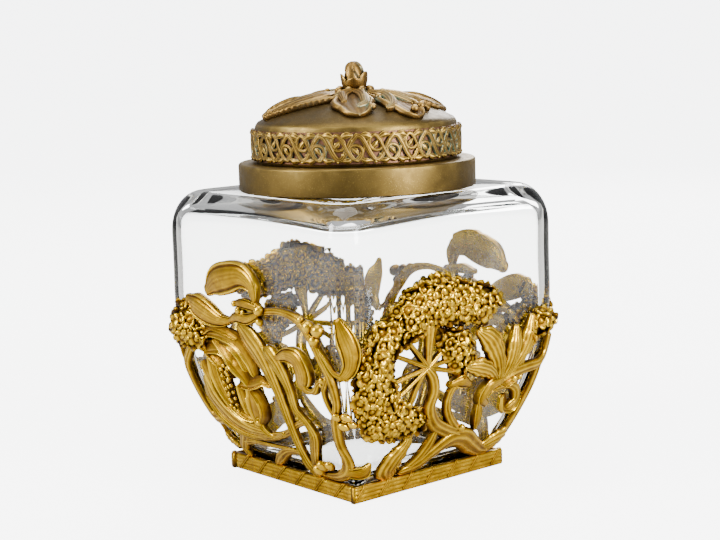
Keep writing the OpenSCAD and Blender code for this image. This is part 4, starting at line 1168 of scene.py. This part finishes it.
def vine(way, phase):
    """A wave from one end of the period to the other; the lift makes it pass over or under."""
    rows, half = [], 0.85 if way > 0 else 0.6
    for i in range(9):
        s = PERIOD * (i / 8 - 0.5)
        over = 0.88 + 0.12 * math.sin(math.tau * i / 8 + phase)
        rows.append([s, MIDDLE + way * SWING * math.cos(math.tau * i / 8 - 0.25 * way), half,
                     VINE_LIFT * over])
    return rows


def drop(s, z, way):
    """A hollow drop, round at one end and pinched at the other."""
    rows = []
    for i in range(11):
        a = math.tau * i / 10
        narrow = 1 - 0.4 * (1 + math.cos(a)) / 2
        rows.append([s + 2.3 * narrow * math.sin(a) - 0.3 * way * math.cos(a), z + way * 2.3 * math.cos(a),
                     0.58, 1.0])
    return rows


wave = Casting(on_band)
for route in (vine(1, 0), vine(-1, math.pi)):
    ribbon(wave, route, stem_section, across=11)
for s, z, way in ((0.1, MIDDLE + 1.5, 1), (PERIOD / 2 - 0.1, MIDDLE - 1.5, -1)):
    ribbon(wave, drop(s, z, way), stem_section, across=9)
    ribbon(wave, [[s - 0.9, z - way * 1.3, 0.6, 0.8], [s - 0.2, z - way * 0.6, 0.9, 1.15],
                  [s + 0.5, z + way * 0.3, 0.4, 0.8]], leaf_section, across=11)
for s, lean in ((PERIOD / 4, 1), (-PERIOD / 4, -1)):
    ribbon(wave, [[s - 1.5 * lean, BAND_H - 1.9, 0.6, 1.0], [s, BAND_H - 1.2, 1.1, 1.35],
                  [s + 1.4 * lean, BAND_H - 1.3, 0.5, 0.9]], leaf_section, across=11)
    ribbon(wave, [[s + 1.4 * lean, 1.8, 0.5, 0.9], [s + 0.2 * lean, 1.15, 1.0, 1.3],
                  [s - 1.2 * lean, 1.3, 0.5, 0.9]], leaf_section, across=11)
for s, z, r in ((0.0, 0.85, 0.55), (1.1, 1.15, 0.45), (-1.0, 1.2, 0.45), (PERIOD / 2, BAND_H - 1.0, 0.5),
                (PERIOD / 2 - 1.2, MIDDLE + 2.2, 0.5), (1.5, MIDDLE - 2.0, 0.5),
                (-1.6, MIDDLE - 1.9, 0.5)):
    bead(wave, s, z, r, 0.55, 1.0)
wave_mesh = wave.mesh("vine_wave", 90 + VINE_START + WAVE_ANGLE / 2)
VINE_BRASS = old_brass("vine_brass", 0.8, VINE_TONES)
nothing = bpy.data.meshes.new("nothing")
vines = repeated(nothing, wave_mesh, "band_vines", VINE_BRASS, WAVES, math.radians(WAVE_ANGLE))
add_piece(vines, VINE_BRASS, "lid", "old_brass", "lid_band")

# %% [markdown]
# ## The relief on the dome
# Two blossoms and two leaf sprays are cast flat and pressed on the dome. Each petal has a
# rolled rim round a sunk middle, and the sprays have a rope along their lower edge.

# %% Dome relief


def on_dome(flat):
    x, y, lift = flat[:, 0], flat[:, 1], flat[:, 2]
    up, k = np.sqrt(SPHERE_R ** 2 - x * x - y * y), (SPHERE_R + lift - 0.05) / SPHERE_R
    return np.column_stack([x * k, y * k, SPHERE_Z + up * k])


# Its wear value paints the sunk middle darker as shade and the rim bright.
def rolled_section(s, along, veins=5):
    """A sunk middle inside a thick rolled rim."""
    a = np.abs(s)
    rim = np.exp(-((a - 0.84) / 0.11) ** 2)
    vein = 0.5 + 0.5 * np.cos(math.pi * veins * s)
    return 0.34 + 0.14 * vein + 0.56 * rim, 0.35 + 0.2 * vein + 0.45 * rim


RELIEF_TURN = 49.5
PETALS = [
    [[0, -5.5, 2.5, 1.4], [-0.4, -12, 4.8, 1.7], [-0.6, -18, 6.8, 2.0], [0.2, -22, 5.2, 1.9]],
    [[3, -5, 2.4, 1.4], [8.4, -10.6, 4.6, 1.7], [13.4, -15.6, 6.2, 2.0], [16, -19, 4.8, 1.9]],
]
FOLDS = [
    [[-1.6, -7, 0.9, 2.0], [-3.6, -12.4, 1.7, 2.8], [-3.2, -18, 1.0, 2.1]],
    [[0.2, -7.6, 0.9, 2.2], [2.2, -12.6, 1.6, 3.0], [3.0, -19.6, 1.5, 2.4], [1.2, -22, 0.7, 2.0]],
    [[4.4, -7.6, 0.8, 2.2], [9.6, -13.2, 1.9, 3.0], [11.0, -19.6, 1.4, 2.5], [9.6, -22, 0.6, 2.0]],
    [[5.4, -6.4, 0.8, 2.0], [11.6, -10.0, 1.5, 2.8], [16.8, -13.6, 1.0, 2.2]],
    [[9.2, -8.4, 0.8, 1.6], [16.6, -9.4, 1.6, 2.2], [21.6, -12.4, 1.1, 1.8]],
    [[-5.4, -8.6, 1.0, 1.6], [-2.6, -6.4, 1.3, 2.3], [0.4, -3.6, 1.0, 1.9]],
]
SPRAY = [
    [[-5.4, -2.2, 1.8, 1.5], [-11, -6.4, 4.4, 2.2], [-18.6, -8.2, 4.4, 2.2], [-24.6, -8.2, 2.6, 1.7]],
    [[-6.4, -0.4, 1.8, 1.4], [-12.6, 2.8, 3.4, 2.0], [-20.4, 1.8, 3.0, 1.9], [-26.4, -2.0, 1.4, 1.4]],
    [[-14.4, -7.4, 0.8, 2.2], [-19, -4.6, 2.3, 2.9], [-24.6, -4.8, 2.4, 2.6], [-27.4, -6.2, 1.2, 1.8]],
]
ROPES = [
    [[-5.6, -12.6, 0.8, 1.6], [-12, -13.4, 1.0, 2.0], [-20, -12.4, 1.0, 2.0], [-27.2, -9.4, 0.8, 1.6]],
    [[-4.6, 3.6, 0.7, 1.5], [-11, 6.4, 0.8, 1.7], [-18.4, 6.0, 0.8, 1.7], [-25.4, 3.0, 0.7, 1.4]],
]
KNOBS = [[-4.6, -8.2, 1.0], [8.4, -6.4, 1.1], [19.4, -16.0, 1.2], [17.4, -20.2, 1.2], [2.6, -15.6, 1.0],
         [2.2, -4.6, 1.2], [-1.8, -4.2, 1.1], [7.0, -14.4, 1.1], [19.8, -13.4, 1.0], [5.2, -23.2, 1.0]]

blossom = casting_of(on_dome, [(PETALS, rolled_section, {"across": 25}), (FOLDS, leaf_section, {})], KNOBS)
spray = casting_of(on_dome, [(SPRAY, leaf_section, {"across": 23, "ruffle": 0.05}),
                             (ROPES, stem_section, {"ruffle": 0.16, "waves": 17})],
                   [[-4.4, 0.4, 1.2], [-5, -3.2, 1.1], [-25.6, -9.6, 1.0], [-24.4, -5.4, 0.9]])
RELIEF_BRASS = old_brass("relief_brass", 0.7, RELIEF_TONES)
for casting, name, half_turn in ((blossom, "lid_flower_front", 0), (spray, "lid_leaf_left", 0),
                                 (blossom, "lid_flower_back", 180), (spray, "lid_leaf_right", 180)):
    mesh = casting.mesh(name + "_relief", RELIEF_TURN + half_turn)
    add_piece(mesh, RELIEF_BRASS, "lid", "old_brass", name)

# %% [markdown]
# ## The bud on top
# The knob is a rose bud. The inner petals wind round each other, so the bud is a turned
# skin whose radius drops in a step at the edge of each petal. Four short outer petals
# curl away from it. The screw under it holds it to the dome.

# %% Bud
BUD_TOP, BUD_SIDES, INNER_PETALS, WIND = TOTAL_H - DOME_TOP, 60, 5, 0.75
BUD_LINE = [(0.0, 1.7), (0.06, 2.0), (0.16, 2.5), (0.3, 2.95), (0.45, 3.1), (0.6, 3.05), (0.74, 2.85),
            (0.85, 2.6), (0.93, 2.15), (0.98, 1.5), (1.0, 0.9)]


def bud_radius(t):
    return float(np.interp(t, *zip(*BUD_LINE)))


def bud_ring(t):
    points = []
    for j in range(BUD_SIDES):
        part = (INNER_PETALS * j / BUD_SIDES + WIND * t + 0.15 * math.sin(9 * t)) % 1
        fold = 0.24 * (1 - part) ** 0.8 * min(1, t * 6)
        r = bud_radius(t) * (0.86 + fold)
        a = math.tau * j / BUD_SIDES
        points.append((r * math.cos(a), r * math.sin(a),
                       DOME_TOP + BUD_TOP * t - 0.7 * part * max(0, t - 0.75) * 4 * (t < 1)))
    return np.array(points)


def round_section(radius, z):
    angles = math.tau * np.arange(BUD_SIDES) / BUD_SIDES
    return np.column_stack([radius * np.cos(angles), radius * np.sin(angles), np.full(BUD_SIDES, z)])


SCREW_DROP = LID_WALL + 3
bud_rings = [round_section(STUD_R, DOME_TOP - SCREW_DROP), round_section(STUD_R, DOME_TOP)]
bud_rings += [bud_ring(t) for t in np.linspace(0, 1, 34)]
ring_sizes = [np.hypot(ring[:, 0], ring[:, 1]) for ring in bud_rings]
# Wear and painted shade: the outer folds of the petals bright, the hollows between them painted dark as
# shade.
bud_wear_and_shade = np.concatenate([size / size.max() * 1.6 - 0.85 for size in ring_sizes] + [[0.4, 0.6]])
add_piece(skin(bud_rings, "finial_bud", np.clip(bud_wear_and_shade, 0, 1)), RELIEF_BRASS, "lid", "old_brass", "finial")

# %% Outer petals of the bud


def as_drawn(points):
    return points


def outer_petal(casting, middle, top, spread=50, flare=1.0):
    """A thin curved petal that hugs the bud and curls out at its tip."""
    levels, across, thick = 14, 13, 0.45
    s_out, s_in = np.linspace(-1, 1, across), np.linspace(1, -1, across)
    rows, wear = [], []
    for t in np.linspace(0, 1, levels):
        width = math.radians(spread) * (0.45 + 0.75 * math.sin(math.pi * min(1, 0.1 + 0.62 * t))) \
            * math.sqrt(max(0.01, 1 - t ** 5))
        r = bud_radius(top * t / BUD_TOP) + 0.35 + flare * t ** 3
        for s, out in ((s_out, thick), (s_in, 0.0)):
            a = math.radians(middle) + width * s
            reach = r + out + 0.25 * (1 - s * s)
            rows.append(np.column_stack([reach * np.cos(a), reach * np.sin(a),
                                         np.full(across, DOME_TOP + 0.15 + top * t - 0.5 * t * t)]))
            # The outer face gets wear and painted shade, brighter at its edges and tip; the inside is painted
            # dark as shade.
            wear.append(0.35 + 0.6 * (np.abs(s) ** 4) + 0.2 * t if out else np.full(across, 0.2))
    k = 2 * across
    faces = [[i * k + j, i * k + (j + 1) % k, (i + 1) * k + (j + 1) % k, (i + 1) * k + j]
             for i in range(levels - 1) for j in range(k)]
    faces += [list(range(k)), list(range((levels - 1) * k, levels * k))]
    casting.add(np.vstack(rows), faces, np.clip(np.concatenate(wear), 0, 1))


calyx = Casting(as_drawn)
for middle, top in ((25, 7.4), (142, 6.2), (232, 6.8), (318, 5.6)):
    outer_petal(calyx, middle, top, 36, 0.45)
add_piece(calyx.mesh("finial_calyx"), RELIEF_BRASS, "lid", "old_brass", "finial")

# %% [markdown]
# ## The rails
# Four rails frame the foot. Their outer faces have soft reeds, and a doubled ribbon winds
# round them. A thin ledge behind each rail carries the glass.

# %% Rail bar
RAIL_T, LEDGE_REACH, LEDGE_T, REEDS = 2.2, 5, 1.46, 4
RAIL_IN = BASE_HALF - RAIL_T


def reed_line(steps=25):
    """The outer face from bottom to top as (distance out, z), with its reeds and its wear and painted shade.
    """
    line, wear = [], []
    for i in range(steps):
        z = 0.15 + (RAIL_H - 0.3) * i / (steps - 1)
        ridge = abs(math.sin(math.pi * REEDS * z / RAIL_H)) ** 0.6
        edge = 0.35 * (abs(z / RAIL_H - 0.5) * 2) ** 6
        line.append((BASE_HALF - 0.4 + 0.2 * ridge - edge, z))
        # Reed tops bright, the grooves between them painted dark as shade.
        wear.append(0.42 + 0.28 * ridge)
    return line, wear


def bar(casting, half, stations=70):
    """A rail along x at the -Y side, with slightly uneven reeds."""
    line, wear = reed_line()
    loop = [(RAIL_IN, 0.0), (BASE_HALF - 0.7, 0.0)] + line + [(BASE_HALF - 0.8, RAIL_H), (RAIL_IN, RAIL_H)]
    # The rail's underside is painted dark as shade, its top edge bright.
    wear = [0.2, 0.2] + wear + [0.6, 0.35]
    rows = []
    for x in np.linspace(-half, half, stations):
        sway = 0.05 * math.sin(0.9 * x) + 0.04 * math.sin(2.3 * x + 1)
        rows.append([(x, -(d + (sway if 2 <= i < len(loop) - 2 else 0)), z) for i, (d, z) in enumerate(loop)])
    k = len(loop)
    faces = [[i * k + j, i * k + (j + 1) % k, (i + 1) * k + (j + 1) % k, (i + 1) * k + j]
             for i in range(stations - 1) for j in range(k)]
    faces += [list(range(k)), list(range((stations - 1) * k, stations * k))]
    casting.add(np.array(rows).reshape(-1, 3), faces, np.tile(wear, stations))


def ledge(casting, half):
    corners = [(x, -d, z) for x in (-half, half) for d, z in (
        (RAIL_IN - LEDGE_REACH, 0.02), (RAIL_IN + 0.2, 0.02), (RAIL_IN + 0.2, LEDGE_T),
        (RAIL_IN - LEDGE_REACH, LEDGE_T))]
    faces = [[0, 1, 2, 3], [4, 5, 6, 7]] + [[j, (j + 1) % 4, 4 + (j + 1) % 4, 4 + j] for j in range(4)]
    casting.add(corners, faces, [0.3] * 8)


# %% Ribbon wrap


def on_rail(flat):
    """Points (x, height, lift) up the outer face of a rail and on over its top."""
    x, h, lift = flat[:, 0], flat[:, 1], flat[:, 2] - 0.12
    over = np.maximum(0, h - RAIL_H + 0.4)
    bend = np.clip(over / 0.8, 0, 1) * math.pi / 2
    out = BASE_HALF - 0.55 - np.maximum(0, over - 0.8) + lift * np.cos(bend)
    up = np.minimum(h, RAIL_H - 0.15) + lift * np.sin(bend)
    return np.column_stack([x, -out, up])


# Its wear value paints the gap between the cords dark as shade and the cords bright.
def doubled_section(s, along):
    """Two cords side by side."""
    cord = np.exp(-((np.abs(s) - 0.52) / 0.3) ** 2)
    return 0.2 + 0.8 * cord, 0.1 + 0.6 * cord


WRAP_STEP, WRAP_LEAN = 9.5, 3.6
wrap = Casting(on_rail)
WRAP_W, WRAP_H = 0.62, 0.62
ribbon(wrap, [[0, 0.9, WRAP_W, WRAP_H], [WRAP_LEAN * 0.5, 2.9, WRAP_W, WRAP_H],
              [WRAP_LEAN, RAIL_H - 0.3, WRAP_W, WRAP_H], [WRAP_LEAN + 1.0, RAIL_H + 1.2, WRAP_W, WRAP_H]],
       doubled_section, relief=1.0, gap=0.0, across=17)
print("wrap points", wrap.count)

# %% Rails


def rail(half, ledge_half, name):
    bars = Casting(as_drawn)
    bar(bars, half)
    ledge(bars, ledge_half)
    count = int((2 * half - 4) / WRAP_STEP) + 1
    first = -(count - 1) * WRAP_STEP / 2 - WRAP_LEAN / 2 - 0.5
    start = wrap.mesh("wrap_part")
    start.transform(Matrix.Translation((first * MM, 0, 0)))
    return repeated(bars.mesh(name + "_bars"), start, name, GILT, count, step=WRAP_STEP * MM)


long_rail = rail(BASE_HALF, RAIL_IN, "long_rail")
short_rail = rail(RAIL_IN, RAIL_IN - LEDGE_REACH, "short_rail")
for side, turn, mesh in (("front", 0, short_rail), ("right", 90, long_rail), ("back", 180, short_rail),
                         ("left", -90, long_rail)):
    add_piece(turned_copy(mesh, "rail_" + side, turn), GILT, "well", "gilt", "base_rail_" + side)

# %% [markdown]
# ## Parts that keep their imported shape
# The hinge, its pin and rivets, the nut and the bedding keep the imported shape, because it is
# already right. They only get a finish of their own.

# %% Finishes on kept parts
PLAIN_BRASS = old_brass("hinge_brass", 0.4, BRASS_TONES, False)
for node, finish in (("hinge_leaf_fixed", PLAIN_BRASS), ("hinge_leaf_lid", PLAIN_BRASS),
                     ("hinge_rivets_collar", PLAIN_BRASS), ("hinge_rivets_lid", PLAIN_BRASS),
                     ("finial_nut", PLAIN_BRASS), ("hinge_pin", STEEL), ("collar_cement", PLASTER)):
    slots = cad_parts[node].material_slots
    for one in slots:
        one.material = finish
    print(node, "gets", finish.name)

# %% [markdown]
# ## The floor and the paper behind
# The inkwell stands on white paper. Bright paper mirrored in the glass and the gilt would
# wash them out, and a studio would shade it off with dark cards. Here the paper is bright
# only to a ray that comes straight from the camera, also through the glass, and dimmer to
# every other ray. Only the floor and the world do this, never a finish on the object.

# %% Rays that see the paper directly
PAPER, PAPER_GLOW = (0.93, 0.94, 0.95), 6.5


def linked_math(nodes, links, how, *values):
    node = nodes.new("ShaderNodeMath")
    node.operation = how
    for socket, value in zip(node.inputs, values):
        if isinstance(value, float):
            socket.default_value = value
        else:
            links.new(value, socket)
    return node.outputs[0]


def seen_directly(nodes, links):
    """One for a ray from the camera, straight or through glass, and nought for any other."""
    path = nodes.new("ShaderNodeLightPath")
    mirrored = linked_math(nodes, links, "ADD", path.outputs["Glossy Depth"],
                           path.outputs["Diffuse Depth"])
    straight = linked_math(nodes, links, "LESS_THAN", mirrored, 0.5)
    through = linked_math(nodes, links, "MULTIPLY", path.outputs["Is Transmission Ray"], straight)
    return linked_math(nodes, links, "MAXIMUM", path.outputs["Is Camera Ray"], through)


print("paper glows at", PAPER_GLOW, "to a direct ray")

# %% Floor
FLOOR_R, FLOOR_SIDES = 3.0, 64
FLOOR_GLOW = PAPER_GLOW - 0.35


def floor_finish():
    f = Finish("pale_floor", Metallic=0.0, Emission_Color=(*PAPER, 1))
    f.set("Base Color", f.ramp(f.noise(3), (0.3, (0.50, 0.49, 0.47)), (0.7, (0.52, 0.51, 0.49))))
    f.set("Roughness", f.ramp(f.noise(40), (0.3, 0.75), (0.7, 0.85)))
    glow = f.sum(seen_directly(f.nodes, f.links), FLOOR_GLOW, "MULTIPLY")
    f.set("Emission Strength", glow)
    return f.material


def add_floor():
    angles = [math.tau * i / FLOOR_SIDES for i in range(FLOOR_SIDES)]
    mesh = bpy.data.meshes.new("floor")
    mesh.from_pydata([(FLOOR_R * math.cos(a), FLOOR_R * math.sin(a), 0) for a in angles], [],
                     [list(range(FLOOR_SIDES))])
    mesh.materials.append(floor_finish())
    disc = bpy.data.objects.new("floor", mesh)
    bpy.context.scene.collection.objects.link(disc)
    return disc


floor = add_floor()
print("floor", FLOOR_R * 2, "m across")

# %% [markdown]
# ## The light
# The world is a soft grey studio that gets brighter overhead, so the metal has something
# to mirror. Four softboxes add the shine: one above, one at each side and one behind.

# %% World
STUDIO_LEVELS = ((0.0, 0.3), (0.5, 0.35), (0.6, 0.8), (0.8, 0.5), (1.0, 1.6))
STUDIO_STRENGTH = 0.9


def level_ramp(nodes):
    """Grey levels from straight down at nought to straight up at one."""
    ramp = nodes.new("ShaderNodeValToRGB")
    for at, level in STUDIO_LEVELS:
        element = ramp.color_ramp.elements.new(at)
        element.color = (level, level, level * 1.01, 1)
    ramp.color_ramp.elements.remove(ramp.color_ramp.elements[0])
    ramp.color_ramp.elements.remove(ramp.color_ramp.elements[-1])
    return ramp


def studio_world():
    world = bpy.data.worlds.new("studio")
    bpy.context.scene.world = world
    world.use_nodes = True
    nodes, links = world.node_tree.nodes, world.node_tree.links
    nodes.clear()
    direction = nodes.new("ShaderNodeTexCoord").outputs["Generated"]
    split = nodes.new("ShaderNodeSeparateXYZ")
    links.new(direction, split.inputs[0])
    ramp = level_ramp(nodes)
    half = nodes.new("ShaderNodeMapRange")
    half.inputs["From Min"].default_value = -1
    links.new(split.outputs["Z"], half.inputs["Value"])
    links.new(half.outputs["Result"], ramp.inputs["Fac"])
    around, plain = nodes.new("ShaderNodeBackground"), nodes.new("ShaderNodeBackground")
    links.new(ramp.outputs["Color"], around.inputs["Color"])
    around.inputs["Strength"].default_value = STUDIO_STRENGTH
    plain.inputs["Color"].default_value = (*PAPER, 1)
    plain.inputs["Strength"].default_value = PAPER_GLOW
    mix, out = nodes.new("ShaderNodeMixShader"), nodes.new("ShaderNodeOutputWorld")
    links.new(seen_directly(nodes, links), mix.inputs[0])
    links.new(around.outputs[0], mix.inputs[1])
    links.new(plain.outputs[0], mix.inputs[2])
    links.new(mix.outputs[0], out.inputs["Surface"])


studio_world()
print("world", bpy.context.scene.world.name)

# %% Softboxes
LIGHT_AIM = (0, 0, 0.06)
SOFTBOXES = (("overhead", (0.0, 0.0, 0.9), (0.7, 0.7), 7),
             ("left_box", (-0.25, -0.85, 0.5), (0.25, 0.5), 13),
             ("right_box", (0.85, 0.1, 0.32), (0.25, 0.4), 15),
             ("back_box", (-0.5, 0.7, 0.5), (0.4, 0.4), 6))


def softbox(name, place, size, power):
    light = bpy.data.lights.new(name, "AREA")
    light.shape, light.size, light.size_y = "RECTANGLE", size[0], size[1]
    light.energy = power
    holder = bpy.data.objects.new(name, light)
    holder.location = place
    way = Vector(LIGHT_AIM) - Vector(place)
    holder.rotation_euler = way.to_track_quat("-Z", "Y").to_euler()
    bpy.context.scene.collection.objects.link(holder)


for name, place, size, power in SOFTBOXES:
    softbox(name, place, size, power)
    print(name, power, "W")
